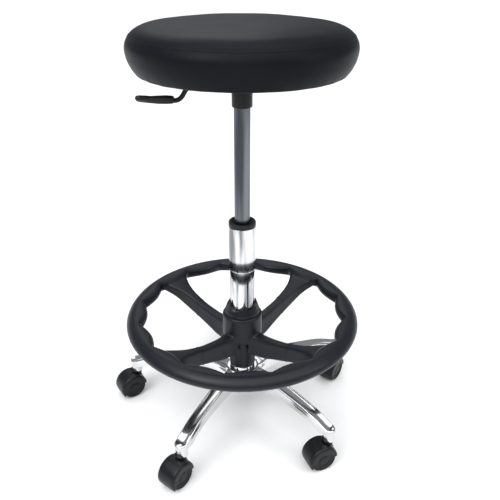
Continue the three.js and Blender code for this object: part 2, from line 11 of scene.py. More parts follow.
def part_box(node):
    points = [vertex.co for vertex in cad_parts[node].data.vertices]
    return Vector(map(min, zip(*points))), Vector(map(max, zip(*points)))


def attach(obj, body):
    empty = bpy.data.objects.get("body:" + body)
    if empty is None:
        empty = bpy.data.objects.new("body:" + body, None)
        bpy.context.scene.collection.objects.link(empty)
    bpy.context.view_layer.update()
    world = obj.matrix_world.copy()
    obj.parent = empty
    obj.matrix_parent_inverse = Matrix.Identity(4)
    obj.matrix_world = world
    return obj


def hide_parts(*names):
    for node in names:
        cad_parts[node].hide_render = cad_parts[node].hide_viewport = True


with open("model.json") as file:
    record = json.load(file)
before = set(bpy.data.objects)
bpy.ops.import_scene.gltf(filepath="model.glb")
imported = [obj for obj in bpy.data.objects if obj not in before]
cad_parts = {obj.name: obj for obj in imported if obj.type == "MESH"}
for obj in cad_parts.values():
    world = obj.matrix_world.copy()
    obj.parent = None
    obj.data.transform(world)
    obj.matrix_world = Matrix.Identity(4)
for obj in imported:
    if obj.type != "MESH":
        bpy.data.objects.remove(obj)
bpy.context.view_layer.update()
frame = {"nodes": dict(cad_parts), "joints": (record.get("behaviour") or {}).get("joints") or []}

# ---------------------------------------------------------------- viewpoint
# The viewer stands a metre in front of the column, a little above the seat, and looks
# down on it. Everything is measured from the floor under the column, which the seat turns on.
joints = {joint["name"]: joint for joint in frame["joints"]}
COLUMN = np.array(joints["seat_swivel"]["pos_m"]) * (1, 1, 0)
LOOK_DOWN = math.radians(27.18)
LOOK_RIGHT = math.radians(0.823)
HEAD_TILT = math.radians(0.312)
EYE = Vector((0.0, -0.9973, 0.8750))

forward = Vector((
    math.sin(LOOK_RIGHT) * math.cos(LOOK_DOWN),
    math.cos(LOOK_RIGHT) * math.cos(LOOK_DOWN),
    -math.sin(LOOK_DOWN),
))
level = Vector((math.cos(LOOK_RIGHT), -math.sin(LOOK_RIGHT), 0.0))
over = level.cross(forward)
right = math.cos(HEAD_TILT) * level + math.sin(HEAD_TILT) * over
up = math.cos(HEAD_TILT) * over - math.sin(HEAD_TILT) * level
camera_data = bpy.data.cameras.new("viewer")
camera_data.lens = 43.535
camera_data.sensor_width = 36.0
camera = bpy.data.objects.new("viewer", camera_data)
turn = Matrix((right, up, -forward)).transposed().to_4x4()
camera.matrix_world = Matrix.Translation(EYE + Vector(COLUMN)) @ turn
bpy.context.scene.collection.objects.link(camera)
bpy.context.scene.camera = camera


# ---------------------------------------------------------------- floor and light
# A plain pale floor, lit evenly from high above like a bright overcast sky, with softer
# boxes of light to the left, to the right and behind for the metal to mirror.
class Signal:
    """A number that varies over a surface: arithmetic on it adds Math nodes."""

    def __init__(self, finish, socket):
        self.finish = finish
        self.socket = socket

    def math(self, operation, *values, clamp=False):
        """A Math node on this signal and the given values."""
        settings = {"operation": operation, "use_clamp": clamp}
        return self.finish.node("Math", settings, dict(enumerate(values)))

    def __add__(self, other):
        return self.math("ADD", self, other)

    def __mul__(self, other):
        return self.math("MULTIPLY", self, other)

    def __sub__(self, other):
        return self.math("SUBTRACT", self, other)

    def __rsub__(self, other):
        return self.math("SUBTRACT", other, self)

    __radd__ = __add__
    __rmul__ = __mul__


class Finish:
    """One material: a Principled shader whose even values are set on its own sockets."""

    def __init__(self, name, **even):
        self.material = bpy.data.materials.new(name)
        self.material.use_nodes = True
        self.tree = self.material.node_tree
        self.shader = self.tree.nodes["Principled BSDF"]
        for socket, value in even.items():
            self.shader.inputs[socket.replace("_", " ")].default_value = value
        self.place = self.node("TexCoord", {}, {}, "Object")

    def node(self, kind, settings, sockets, output=0):
        """A node of a type, with its settings, then its sockets' values or links."""
        made = self.tree.nodes.new("ShaderNode" + kind)
        for key, value in settings.items():
            setattr(made, key, value)
        for key, value in sockets.items():
            if isinstance(value, Signal):
                self.tree.links.new(value.socket, made.inputs[key])
            else:
                made.inputs[key].default_value = value
        return Signal(self, made.outputs[output])

    def noise(self, scale, detail=3.0, roughness=0.5, place=None):
        """Noise from 0 to 1, with features of about 1 / scale metres."""
        sockets = {"Vector": place or self.place, "Scale": scale, "Detail": detail,
                   "Roughness": roughness}
        return self.node("TexNoise", {}, sockets, "Fac")

    def stretched(self, x, y, z):
        """The place on the piece, with each coordinate scaled."""
        return self.node("Mapping", {}, {"Vector": self.place, "Scale": (x, y, z)}, "Vector")

    def between(self, share, low, high):
        """A share from 0 to 1 turned into a value from low to high."""
        return share * (high - low) + low

    def blend(self, share, first, second):
        """A colour between two others."""
        sockets = {"Factor": share, 6: (*first, 1.0), 7: (*second, 1.0)}
        return self.node("Mix", {"data_type": "RGBA"}, sockets, 2)

    def drive(self, colour, rough=None, height=None, depth=None):
        """Links a colour, a roughness and a height, up to depth metres, to the shader."""
        links = {"Base Color": colour, "Roughness": rough}
        if height is not None:
            links["Normal"] = self.node("Bump", {}, {"Height": height, "Distance": depth}, "Normal")
        for socket, value in links.items():
            if value is not None:
                self.tree.links.new(value.socket, self.shader.inputs[socket])
        return self.material


FLOOR_SIZE = 40.0
LIGHTS = {
    "key_box": ((-1.3, -1.5, 2.1), 1.2, 26.0),
    "side_box": ((2.1, -0.9, 1.5), 0.9, 8.0),
    "back_box": ((-0.4, 2.3, 2.4), 1.4, 9.0),
}
SKY_POWER = 3.2
SKY_SPREAD = math.radians(90)
SKY_TILT = math.radians(18)
ROOM_LIGHT = 0.32


def pale_floor():
    """Matt white paper, very slightly uneven."""
    made = Finish("pale_floor", Roughness=0.9, Specular_IOR_Level=0.0)
    shade = made.blend(made.noise(1.5), (0.86, 0.86, 0.86), (0.89, 0.89, 0.89))
    return made.drive(shade)


bpy.ops.mesh.primitive_plane_add(size=FLOOR_SIZE, location=(0, 0, -0.0004))
floor = bpy.context.object
floor.name = "floor"
floor.data.materials.append(pale_floor())

world = bpy.data.worlds.new("room")
world.use_nodes = True
world.node_tree.nodes["Background"].inputs["Color"].default_value = (0.94, 0.97, 1.0, 1.0)
world.node_tree.nodes["Background"].inputs["Strength"].default_value = ROOM_LIGHT
bpy.context.scene.world = world
bpy.context.scene.view_settings.view_transform = "Standard"
overcast = bpy.data.lights.new("overcast", "SUN")
overcast.energy = SKY_POWER
overcast.angle = SKY_SPREAD
sky = bpy.data.objects.new("overcast", overcast)
sky.matrix_world = Matrix.Rotation(SKY_TILT, 4, "X")
bpy.context.scene.collection.objects.link(sky)
for name, (place, size, power) in LIGHTS.items():
    lamp = bpy.data.lights.new(name, "AREA")
    lamp.size = size
    lamp.energy = power
    box = bpy.data.objects.new(name, lamp)
    aim = (Vector((0, 0, 0.4)) - Vector(place)).to_track_quat("-Z", "Y")
    box.matrix_world = Matrix.Translation(place + COLUMN) @ aim.to_matrix().to_4x4()
    bpy.context.scene.collection.objects.link(box)


# ---------------------------------------------------------------- seat pad
# A round foam pad on a plywood board, covered in black vinyl: a crowned top panel sewn to a
# side band, which is pulled tight round the board's edge and stapled underneath.
def black_vinyl():
    """Calendered vinyl: a fine pebble grain, with a duller and a brighter patch here and there."""
    made = Finish("black_vinyl", Specular_IOR_Level=0.08)
    patches = made.noise(14.0)
    pebbles = made.node("TexVoronoi", {"feature": "SMOOTH_F1"},
                        {"Vector": made.place, "Scale": 820.0, "Smoothness": 0.6}, "Distance")
    height = pebbles * 0.8 + made.noise(2600.0, 2.0) * 0.35
    colour = made.blend(patches, (0.0030, 0.0040, 0.0062), (0.0062, 0.0074, 0.0100))
    rough = made.between(patches * 0.7 + pebbles * 0.3, 0.36, 0.50)
    return made.drive(colour, rough, height, 0.00011)


TAU = 2 * math.pi


def all_round(count):
    """Angles in even steps round a circle."""
    return np.arange(count) * TAU / count


def grid_faces(rows, columns, wrap_rows=True, wrap_columns=True):
    """Four-cornered faces of a grid, row by row, joined round on the sides that wrap."""
    row = np.arange(rows if wrap_rows else rows - 1)
    column = np.arange(columns if wrap_columns else columns - 1)
    i, j = np.meshgrid(row, column, indexing="ij")
    far, across = (i + 1) % rows, (j + 1) % columns
    corners = [i * columns + j, far * columns + j, far * columns + across, i * columns + across]
    return np.stack(corners, -1).reshape(-1, 4)


def joined(*shapes):
    """Several shapes as one, each a pair of places and faces."""
    places, faces, start = [], [], 0
    for some_places, some_faces in shapes:
        places.append(some_places)
        faces.append(some_faces + start)
        start += len(some_places)
    return np.concatenate(places), np.concatenate(faces)


def eased(points, count, closed=False):
    """A smooth curve through a few points, as count places evenly spaced along it: each span
    is the Catmull-Rom cubic of its four nearest points."""
    p = np.array(points, float)
    if closed:
        a, b, c, d = np.roll(p, 1, 0), p, np.roll(p, -1, 0), np.roll(p, -2, 0)
    else:
        ends = np.concatenate([2 * p[:1] - p[1:2], p, 2 * p[-1:] - p[-2:-1]])
        a, b, c, d = ends[:-3], ends[1:-2], ends[2:-1], ends[3:]
    t = np.linspace(0, 1, 24, endpoint=False)[None, :, None]
    a, b, c, d = (q[:, None] for q in (a, b, c, d))
    curve = 0.5 * (2 * b + (c - a) * t + (2 * a - 5 * b + 4 * c - d) * t ** 2
                   + (3 * b - a - 3 * c + d) * t ** 3)
    curve = curve.reshape(-1, p.shape[1])
    curve = np.concatenate([curve, p[:1] if closed else p[-1:]])
    gone = np.concatenate([[0], np.cumsum(np.linalg.norm(np.diff(curve, axis=0), axis=1))])
    wanted = np.linspace(0, gone[-1], count, endpoint=not closed)
    return np.stack([np.interp(wanted, gone, axis) for axis in curve.T], -1)


def span(node):
    """A CAD node's lowest and highest corners, from the floor under the column."""
    low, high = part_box(node)
    return low - Vector(COLUMN), high - Vector(COLUMN)


def piece(name, shape, body, slot, finish, *stands_for, crease=34):
    """Makes a shape, given from the floor under the column, into a piece that rides on a body:
    merged, facing out, smooth up to its creases, and standing for the CAD nodes named."""
    places, faces = shape
    mesh = bpy.data.meshes.new(name)
    mesh.from_pydata((places + COLUMN).tolist(), [], faces.tolist())
    work = bmesh.new()
    work.from_mesh(mesh)
    bmesh.ops.remove_doubles(work, verts=work.verts, dist=2e-6)
    bmesh.ops.dissolve_degenerate(work, edges=work.edges, dist=1e-6)
    bmesh.ops.recalc_face_normals(work, faces=work.faces)
    work.to_mesh(mesh)
    work.free()
    mesh.shade_smooth()
    mesh.set_sharp_from_angle(angle=math.radians(crease))
    mesh.materials.append(finish)
    made = bpy.data.objects.new(name, mesh)
    bpy.context.scene.collection.objects.link(made)
    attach(made, body)
    if stands_for:
        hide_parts(*stands_for)
    return made


vinyl = black_vinyl()
cover_low, cover_high = span("seat_cover")
board_high = span("seat_board")[1]
SEAT_RADIUS = cover_high.x
SEAT_TOP = cover_high.z
SEAT_UNDERSIDE = cover_low.z
BOARD_EDGE = board_high.x + 0.001
SWELL_ROOM = 0.0016
STUFFING_FRAMES = 20
SWELL_LIMIT = 0.0022
EVENING_ROUNDS = 60
NEIGHBOURS_SHARE = 0.6
PAD_CELLS = 48

side_outline = [
    (0.0, SEAT_TOP), (0.080, SEAT_TOP - 0.0006), (SEAT_RADIUS - 0.042, SEAT_TOP - 0.0026),
    (SEAT_RADIUS - 0.020, SEAT_TOP - 0.0072), (SEAT_RADIUS - 0.0065, SEAT_TOP - 0.0165),
    (SEAT_RADIUS, SEAT_TOP - 0.0330), (SEAT_RADIUS - 0.0022, SEAT_TOP - 0.0510),
    (SEAT_RADIUS - 0.0078, SEAT_TOP - 0.0640), (SEAT_RADIUS - 0.0128, SEAT_TOP - 0.0716),
    (SEAT_RADIUS - 0.0160, SEAT_TOP - 0.0741),
    (BOARD_EDGE, SEAT_UNDERSIDE + 0.0002), (BOARD_EDGE - 0.0005, board_high.z + 0.001),
    (0.0, board_high.z + 0.001),
]


def pad_surface(cells, outline):
    """A ball of six square grids, whose angle from the top is turned into distance along the
    outline, and whose angle round the axis is kept: (r(s) cos a, r(s) sin a, z(s))."""
    side = np.tan((np.arange(cells + 1) / cells * 2 - 1) * math.pi / 4)
    u, v = np.meshgrid(side, side, indexing="ij")
    one = np.ones_like(u)
    walls = [(u, v, one), (v, u, -one), (one, u, v), (-one, v, u), (v, one, u), (u, -one, v)]
    shapes = []
    line = eased(outline, 900)
    for wall in walls:
        ball = np.stack(wall, -1).reshape(-1, 3)
        ball /= np.linalg.norm(ball, axis=1, keepdims=True)
        share = np.arccos(np.clip(ball[:, 2], -1, 1)) / math.pi * (len(line) - 1)
        radius = np.interp(share, np.arange(len(line)), line[:, 0])
        height = np.interp(share, np.arange(len(line)), line[:, 1])
        angle = np.arctan2(ball[:, 1], ball[:, 0])
        places = np.stack([radius * np.cos(angle), radius * np.sin(angle), height], -1)
        shapes.append((places, grid_faces(cells + 1, cells + 1, False, False)))
    return joined(*shapes)


def stuffed(pad, held, most):
    """Blows the pad up as a cloth bag over STUFFING_FRAMES, with the held vertices kept still.
    No move is longer than most, and each is evened out with its neighbours' moves."""
    group = pad.vertex_groups.new(name="held")
    group.add(np.flatnonzero(held).tolist(), 1.0, "REPLACE")
    cloth = pad.modifiers.new("stuffing", "CLOTH")
    cloth.settings.use_pressure = True
    cloth.settings.uniform_pressure_force = 4.0
    cloth.settings.effector_weights.gravity = 0.0
    cloth.settings.vertex_group_mass = "held"
    cloth.settings.tension_stiffness = 60.0
    cloth.settings.compression_stiffness = 60.0
    cloth.settings.bending_stiffness = 4.0
    cloth.point_cache.frame_end = STUFFING_FRAMES
    for number in range(1, STUFFING_FRAMES + 1):
        bpy.context.scene.frame_set(number)
    graph = bpy.context.evaluated_depsgraph_get()
    blown = np.empty(len(pad.data.vertices) * 3)
    pad.evaluated_get(graph).data.vertices.foreach_get("co", blown)
    start = np.empty_like(blown)
    pad.data.vertices.foreach_get("co", start)
    moved = (blown - start).reshape(-1, 3)
    length = np.linalg.norm(moved, axis=1, keepdims=True)
    moved *= np.minimum(1.0, most / np.maximum(length, 1e-9))
    ends = np.array([edge.vertices[:] for edge in pad.data.edges])
    neighbours = np.bincount(ends.ravel(), minlength=len(moved))[:, None]
    for _ in range(EVENING_ROUNDS):
        total = np.zeros_like(moved)
        np.add.at(total, ends[:, 0], moved[ends[:, 1]])
        np.add.at(total, ends[:, 1], moved[ends[:, 0]])
        moved = (1 - NEIGHBOURS_SHARE) * moved + NEIGHBOURS_SHARE * total / neighbours
        moved[held] = 0.0
    pad.modifiers.remove(cloth)
    pad.vertex_groups.remove(group)
    bpy.context.scene.frame_set(1)
    pad.data.vertices.foreach_set("co", start + moved.ravel())
    pad.data.update()


def places_of(thing):
    """The places of a piece's vertices from the floor under the column, one row each."""
    flat = np.empty(len(thing.data.vertices) * 3)
    thing.data.vertices.foreach_get("co", flat)
    return flat.reshape(-1, 3) - COLUMN


start_outline = [(max(r - SWELL_ROOM, 0.0) if z > SEAT_UNDERSIDE + 0.001 and r > 0.17 else r,
                  z - SWELL_ROOM if z > SEAT_TOP - 0.02 else z) for r, z in side_outline]
cushion = piece("seat_cushion", pad_surface(PAD_CELLS, start_outline), "seat", "vinyl", vinyl,
                "seat_cover", "seat_foam", crease=80)
start = places_of(cushion)
reach = np.hypot(start[:, 0], start[:, 1])
on_board = (reach < BOARD_EDGE + 0.004) & (start[:, 2] < board_high.z + 0.003)
stuffed(cushion, on_board, SWELL_LIMIT)

# The seam draws the vinyl in, and small puckers run out from it and from the stapled edge.
SEAM_RADIUS = SEAT_RADIUS - 0.0062
SEAM_HEIGHT = SEAT_TOP - 0.0165
settled = places_of(cushion)
reach = np.hypot(settled[:, 0], settled[:, 1])
angle = np.arctan2(settled[:, 1], settled[:, 0])
outward = settled / np.maximum(reach, 1e-6)[:, None] * (1, 1, 0)
to_seam = np.hypot(reach - SEAM_RADIUS, settled[:, 2] - SEAM_HEIGHT)
low_edge = np.clip((SEAT_UNDERSIDE + 0.022 - settled[:, 2]) / 0.020, 0, 1) * (reach > BOARD_EDGE)
ripple = np.sin(61 * angle + 2 * np.sin(7 * angle)) * np.sin(23 * angle + 1.3)
drawn_in = 0.0007 * np.exp(-(to_seam / 0.0026) ** 2)
pucker = 0.00022 * ripple * np.exp(-(to_seam / 0.011) ** 2) + 0.0006 * ripple * low_edge ** 2
settled += outward * (pucker - drawn_in)[:, None]
settled[:, 2] -= drawn_in
cushion.data.vertices.foreach_set("co", (settled + COLUMN).ravel())
softened = cushion.modifiers.new("softened", "SUBSURF")
softened.levels = softened.render_levels = 1

# The sewn seam: the two panels' turned edges stand side by side in the groove.
SEAM_TURNS = 720
BEAD_SIDES = 16
BEAD_HALF_WIDTH = 0.00155
BEAD_HALF_HEIGHT = 0.00062
STITCHES = 240
cushion_skin = BVHTree.FromPolygons(
    [Vector(p) for p in settled], [tuple(face.vertices) for face in cushion.data.polygons])
around = all_round(SEAM_TURNS)
hits = [cushion_skin.find_nearest(Vector((SEAM_RADIUS * math.cos(a), SEAM_RADIUS * math.sin(a),
                                          SEAM_HEIGHT)))[:2] for a in around]
seam_line = np.array([tuple(hit[0]) for hit in hits])
seam_out = np.array([tuple(hit[1]) for hit in hits])
seam_along = np.stack([-np.sin(around), np.cos(around), 0 * around], -1)
seam_side = np.cross(seam_along, seam_out)
bead = all_round(BEAD_SIDES)
bead_side = BEAD_HALF_WIDTH * np.cos(bead)
bead_out = BEAD_HALF_HEIGHT * np.sin(bead) * (0.35 + 0.65 * np.abs(np.cos(bead)))
pinch = 1 + 0.16 * np.sin(around * STITCHES)
seam_places = (seam_line[:, None] + seam_side[:, None] * bead_side[None, :, None]
               + seam_out[:, None] * (bead_out[None] * pinch[:, None])[..., None])
piece("seat_seam", (seam_places.reshape(-1, 3), grid_faces(SEAM_TURNS, BEAD_SIDES)), "seat", "vinyl",
      vinyl, crease=80)


# ---------------------------------------------------------------- under the seat
# The vinyl's pleated edge is stapled to the board, with a thin black non-woven cloth over
# the middle. The board itself is raw plywood.
def rounded(corners, steps=5):
    """A closed outline of (x, y, cut) corners. Each is rounded from cut before it to cut after
    it by the curve (1-t)^2 a + 2t(1-t) c + t^2 b."""
    corner = np.array(corners, float)
    place, cut = corner[:, :2], corner[:, 2:3]
    before, after = np.roll(place, 1, 0) - place, np.roll(place, -1, 0) - place
    start = place + before / np.linalg.norm(before, axis=1, keepdims=True) * cut
    end = place + after / np.linalg.norm(after, axis=1, keepdims=True) * cut
    t = np.linspace(0, 1, steps)[None, :, None]
    curve = (1 - t) ** 2 * start[:, None] + 2 * t * (1 - t) * place[:, None] + t ** 2 * end[:, None]
    return curve.reshape(-1, 2)


def wrapped(radii, heights):
    """Closed outlines of radii and heights, one for each even step round the upright axis: the
    place at angle a is (r cos a, r sin a, z)."""
    radii, heights = np.broadcast_arrays(radii, heights)
    angle = all_round(len(radii))[:, None]
    places = np.stack([radii * np.cos(angle), radii * np.sin(angle), heights], -1)
    return places.reshape(-1, 3), grid_faces(*radii.shape)


def turned(profile, turns=128):
    """One closed outline of (radius, height) turned round the upright axis."""
    radius, height = np.asarray(profile, float).T
    return wrapped(np.tile(radius, (turns, 1)), height)


def swept(path, section):
    """A closed section carried along a path in an upright plane along X: its first coordinate
    runs along Y, its second across the path, and both ends close on the path."""
    along = np.gradient(path, axis=0)
    along /= np.linalg.norm(along, axis=1, keepdims=True)
    sideways = np.array([0.0, 1.0, 0.0])
    across = np.cross(sideways, along)
    return capped(path[:, None] + section[:, :1] * sideways + section[:, 1:] * across[:, None])


def capped(places):
    """Rows of places joined into a tube, whose ends each close on the middle of their row."""
    rows, columns = places.shape[:2]
    first = np.repeat(places[:1].mean(1, keepdims=True), columns, 1)
    last = np.repeat(places[-1:].mean(1, keepdims=True), columns, 1)
    whole = np.concatenate([first, places, last])
    return whole.reshape(-1, 3), grid_faces(rows + 2, columns, False, True)


def oval(half_width, half_height, count=20):
    """Places round an oval: (w cos t, h sin t)."""
    t = all_round(count)
    return np.stack([half_width * np.cos(t), half_height * np.sin(t)], -1)


def round_moved(shape, degrees, middle=(0.0, 0.0, 0.0)):
    """A shape turned about the upright axis, then moved."""
    places, faces = shape
    cos, sin = math.cos(math.radians(degrees)), math.sin(math.radians(degrees))
    spin = np.array([[cos, sin, 0], [-sin, cos, 0], [0, 0, 1]])
    return places @ spin + np.array(middle), faces


HEM_EDGE = span("dust_cover")[1].x
HEM_SHEET = 0.0013
CLOTH_SHEET = 0.0009
PLEATS = 54
STAPLES = 46
hem_angle = all_round(PLEATS * 12)
hem_share = np.linspace(0, 1, 9)
hem_radius = HEM_EDGE + 0.0004 + (BOARD_EDGE - 0.005 - HEM_EDGE) * hem_share
fold = np.clip(np.sin(PLEATS * hem_angle + 1.2 * np.sin(5 * hem_angle)), 0, 1) ** 3
hem_drop = 0.00085 * fold[:, None] * (0.3 + 0.7 * np.sin(hem_share * math.pi * 0.8))[None]
under = SEAT_UNDERSIDE - hem_drop + 0.0012 * hem_share ** 6
hem_ring = np.concatenate([under, under[:, ::-1] + HEM_SHEET], 1)
hem_radii = np.concatenate([hem_radius, hem_radius[::-1]])
piece("seat_hem", wrapped(hem_radii, hem_ring), "seat", "vinyl", vinyl, crease=50)


def black_cloth():
    """Spun-bonded cloth: a rolled-in diamond pattern of small dots on matted threads."""
    made = Finish("black_cloth", Specular_IOR_Level=0.15)
    dots = made.node("TexVoronoi", {}, {"Vector": made.place, "Scale": 620.0}, "Distance")
    threads = made.noise(3200.0, 2.0, 0.8, made.stretched(1.0, 0.25, 1.0))
    colour = made.blend(threads, (0.010, 0.010, 0.011), (0.028, 0.028, 0.030))
    rough = made.between(dots, 0.85, 0.98)
    return made.drive(colour, rough, dots + threads * 0.5, 0.00025)


cloth_ring = np.linspace(0, 1, 26)
cloth_angle = all_round(160)
cloth_radius = HEM_EDGE * cloth_ring
crease = 0.0004 * np.sin(31 * cloth_angle)[:, None] * cloth_ring[None] ** 8
cloth_under = SEAT_UNDERSIDE + 0.0001 + crease + 0 * cloth_radius
cloth_height = np.concatenate([cloth_under, cloth_under[:, ::-1] + CLOTH_SHEET], 1)
cloth_radii = np.concatenate([cloth_radius, cloth_radius[::-1]])
dust_cloth = piece("dust_cloth", wrapped(cloth_radii, cloth_height), "seat", "dust_fabric",
                   black_cloth(), "dust_cover", crease=60)


def plated_steel():
    """Zinc-plated steel: bright, slightly clouded, with faint turning marks."""
    made = Finish("bright_steel", Metallic=1.0)
    cloud = made.noise(160.0)
    lines = made.noise(900.0, 2.0, 0.6, made.stretched(0.2, 0.2, 6.0))
    colour = made.blend(cloud, (0.46, 0.47, 0.48), (0.60, 0.61, 0.61))
    rough = made.between(cloud * 0.6 + lines * 0.4, 0.22, 0.40)
    return made.drive(colour, rough, lines, 0.00002)


bright_steel = plated_steel()
staple_path = eased([(-0.0050, 0, 0.0010), (-0.0048, 0, 0.0001), (-0.0040, 0, -0.0003),
                     (0.0040, 0, -0.0003), (0.0048, 0, 0.0001), (0.0050, 0, 0.0010)], 9)
staple = swept(staple_path, oval(0.0005, 0.00032, 6))
staples = []
for number in range(STAPLES):
    degrees = number * 360 / STAPLES
    at = math.radians(degrees)
    lean = 8 * math.sin(number * 2.4)
    staples.append(round_moved(staple, degrees + 90 + lean, (
        (HEM_EDGE + 0.006) * math.cos(at), (HEM_EDGE + 0.006) * math.sin(at),
        SEAT_UNDERSIDE - 0.0006)))
piece("hem_staples", joined(*staples), "seat", "plain_steel", bright_steel, crease=60)


def raw_plywood():
    """Beech plywood: face grain, and thin plies that show on the edge."""
    made = Finish("raw_plywood", Specular_IOR_Level=0.25)
    grain = made.noise(90.0, 5.0, 0.6, made.stretched(0.25, 2.4, 1.0))
    plies = made.node("TexWave", {"bands_direction": "Z"},
                      {"Vector": made.place, "Scale": 85.0, "Distortion": 0.6}, "Fac")
    colour = made.blend(grain * 0.7 + plies * 0.3, (0.30, 0.18, 0.085), (0.52, 0.36, 0.19))
    rough = made.between(grain, 0.6, 0.85)
    return made.drive(colour, rough, grain, 0.0003)


frame["nodes"]["seat_board"].data.materials.clear()
frame["nodes"]["seat_board"].data.materials.append(raw_plywood())


def dress(node, finish, bevel=0.0004):
    """Gives a CAD node its finish, with its vertices merged and its edges eased."""
    thing = frame["nodes"][node]
    thing.data.materials.clear()
    thing.data.materials.append(finish)
    weld = thing.modifiers.new("weld", "WELD")
    weld.merge_threshold = 2e-6
    ease = thing.modifiers.new("eased_edges", "BEVEL")
    ease.width = bevel
    ease.segments = 2
    ease.limit_method = "ANGLE"
    ease.angle_limit = math.radians(30)
    ease.harden_normals = False


# ---------------------------------------------------------------- seat plate and lever
# A pressed black steel plate bolted to the board, with a sunk pan. The gas spring's socket
# is welded into the pan, and the release lever rocks on a pin across it.
def black_coat():
    """Powder-coated steel: black, with a faint orange-peel and a little grey on it."""
    made = Finish("black_coat", Specular_IOR_Level=0.24)
    peel = made.noise(1300.0, 2.0, 0.4)
    dust = made.noise(60.0, 4.0)
    colour = made.blend(dust, (0.004, 0.004, 0.005), (0.009, 0.009, 0.010))
    rough = made.between(dust, 0.34, 0.50)
    return made.drive(colour, rough, peel, 0.00006)


def moulded_nylon(name, dark, light, low, high, grain=1500.0):
    """Black nylon moulded against a spark-etched steel tool, with handling marks."""
    made = Finish(name, Specular_IOR_Level=0.26)
    etched = made.noise(grain, 3.0, 0.7)
    handled = made.noise(26.0, 4.0, 0.6)
    scuffs = made.noise(240.0, 3.0, 0.7, made.stretched(0.15, 1.0, 1.0))
    colour = made.blend(handled * 0.6 + scuffs * 0.4, dark, light)
    rough = made.between(handled * 0.7 + scuffs * 0.3, low, high)
    return made.drive(colour, rough, etched + scuffs * 0.3, 0.00008)


coated = black_coat()
grip_nylon = moulded_nylon("grip_nylon", (0.003, 0.003, 0.004), (0.007, 0.007, 0.008), 0.32, 0.50)
dress("seat_plate", coated, 0.0006)
for number in range(1, 5):
    dress(f"seat_bolt_{number}", bright_steel)
dress("lever_pivot_pin", bright_steel)

pan_low = span("seat_plate")[0]
socket_low, socket_high = span("receiver_tube")
SOCKET_RADIUS = socket_high.x
SOCKET_BORE = 0.01435
socket_outline = rounded([
    (SOCKET_BORE, socket_low.z, 0.0004), (SOCKET_RADIUS, socket_low.z, 0.0020),
    (SOCKET_RADIUS, socket_high.z, 0.0004), (SOCKET_BORE, socket_high.z, 0.0004),
])
piece("spring_socket", turned(socket_outline, 96), "seat", "black_steel", coated, "receiver_tube")

# A weld runs round the socket under the pan, laid in overlapping ripples.
weld_angle = all_round(360)
weld_size = 0.0018 * (1 + 0.10 * np.sin(weld_angle * 48) + 0.06 * np.sin(weld_angle * 5))
weld_ring = oval(1.0, 1.0, 12)
weld_radii = SOCKET_RADIUS + 0.0004 + weld_size[:, None] * weld_ring[:, 0]
weld_height = pan_low.z - 0.0002 + weld_size[:, None] * weld_ring[:, 1]
piece("socket_weld", wrapped(weld_radii, weld_height), "seat", "black_steel", coated, crease=70)

pivot = np.array(joints["lever_pull"]["pos_m"]) - COLUMN
ROD_RADIUS = 0.0040
rod_route = pivot + np.array([
    (-0.0890, 0, -0.0367), (-0.0770, 0, -0.0364), (-0.0690, 0, -0.0310),
    (-0.0610, 0, -0.0190), (-0.0500, 0, -0.0090), (-0.0320, 0, -0.0024), (-0.0150, 0, 0),
    (0, 0, 0), (0.0150, 0, -0.0014), (0.0300, 0, -0.0037), (0.0370, 0, -0.0037),
])
lever_line = eased(rod_route, 90)
lever_tube = swept(lever_line, oval(ROD_RADIUS, ROD_RADIUS, 28))
sleeve_ring = rounded([(0.0034, -0.009, 0.0002), (0.0066, -0.009, 0.0008),
                       (0.0066, 0.009, 0.0008), (0.0034, 0.009, 0.0002)])
sleeve_places, sleeve_faces = turned(sleeve_ring, 40)
sleeve_places = sleeve_places[:, [0, 2, 1]] + pivot
piece("lever_bar", joined(lever_tube, (sleeve_places, sleeve_faces)), "lever", "black_steel",
      coated, "lever_rod")


def squared_off(wave, power):
    """A sine or cosine pushed out towards a square wave: the sign of w times |w| ^ power."""
    return np.sign(wave) * np.abs(wave) ** power


# The grip is a flat bar with a waist, twisted so that its outer end lies flatter.
PADDLE = [  # distance from the root, half width, half height, twist in degrees, drop
    (0.0000, 0.0048, 0.0050, 0, 0.0002), (0.0030, 0.0056, 0.0064, 0, 0.0),
    (0.0140, 0.0056, 0.0068, 4, 0.0), (0.0270, 0.0050, 0.0064, 18, 0.0002),
    (0.0380, 0.0044, 0.0060, 34, 0.0),
    (0.0480, 0.0044, 0.0070, 48, -0.0008), (0.0570, 0.0044, 0.0074, 54, -0.0014),
    (0.0615, 0.0036, 0.0058, 56, -0.0016), (0.0632, 0.0018, 0.0030, 56, -0.0016),
]
paddle_low, paddle_high = span("lever_paddle")
distance, half_width, half_height, twist, drop = np.stack(
    [np.interp(np.linspace(0, PADDLE[-1][0], 64), *np.array(PADDLE)[:, [0, column]].T)
     for column in range(5)])
soft = np.convolve(np.pad(np.radians(twist), 4, "edge"), np.ones(9) / 9, "valid")
t = all_round(36)
lobe_y = half_width[:, None] * squared_off(np.cos(t), 0.6)
lobe_z = half_height[:, None] * squared_off(np.sin(t), 0.6)
turned_y = lobe_y * np.cos(soft)[:, None] - lobe_z * np.sin(soft)[:, None]
turned_z = lobe_y * np.sin(soft)[:, None] + lobe_z * np.cos(soft)[:, None]
paddle_middle = (paddle_low.z + paddle_high.z) / 2
paddle_places = np.stack([
    np.broadcast_to((paddle_high.x - distance)[:, None], turned_y.shape), turned_y,
    paddle_middle - drop[:, None] + turned_z], -1)
piece("lever_grip", capped(paddle_places), "lever", "black_nylon", grip_nylon, "lever_paddle",
      crease=50)


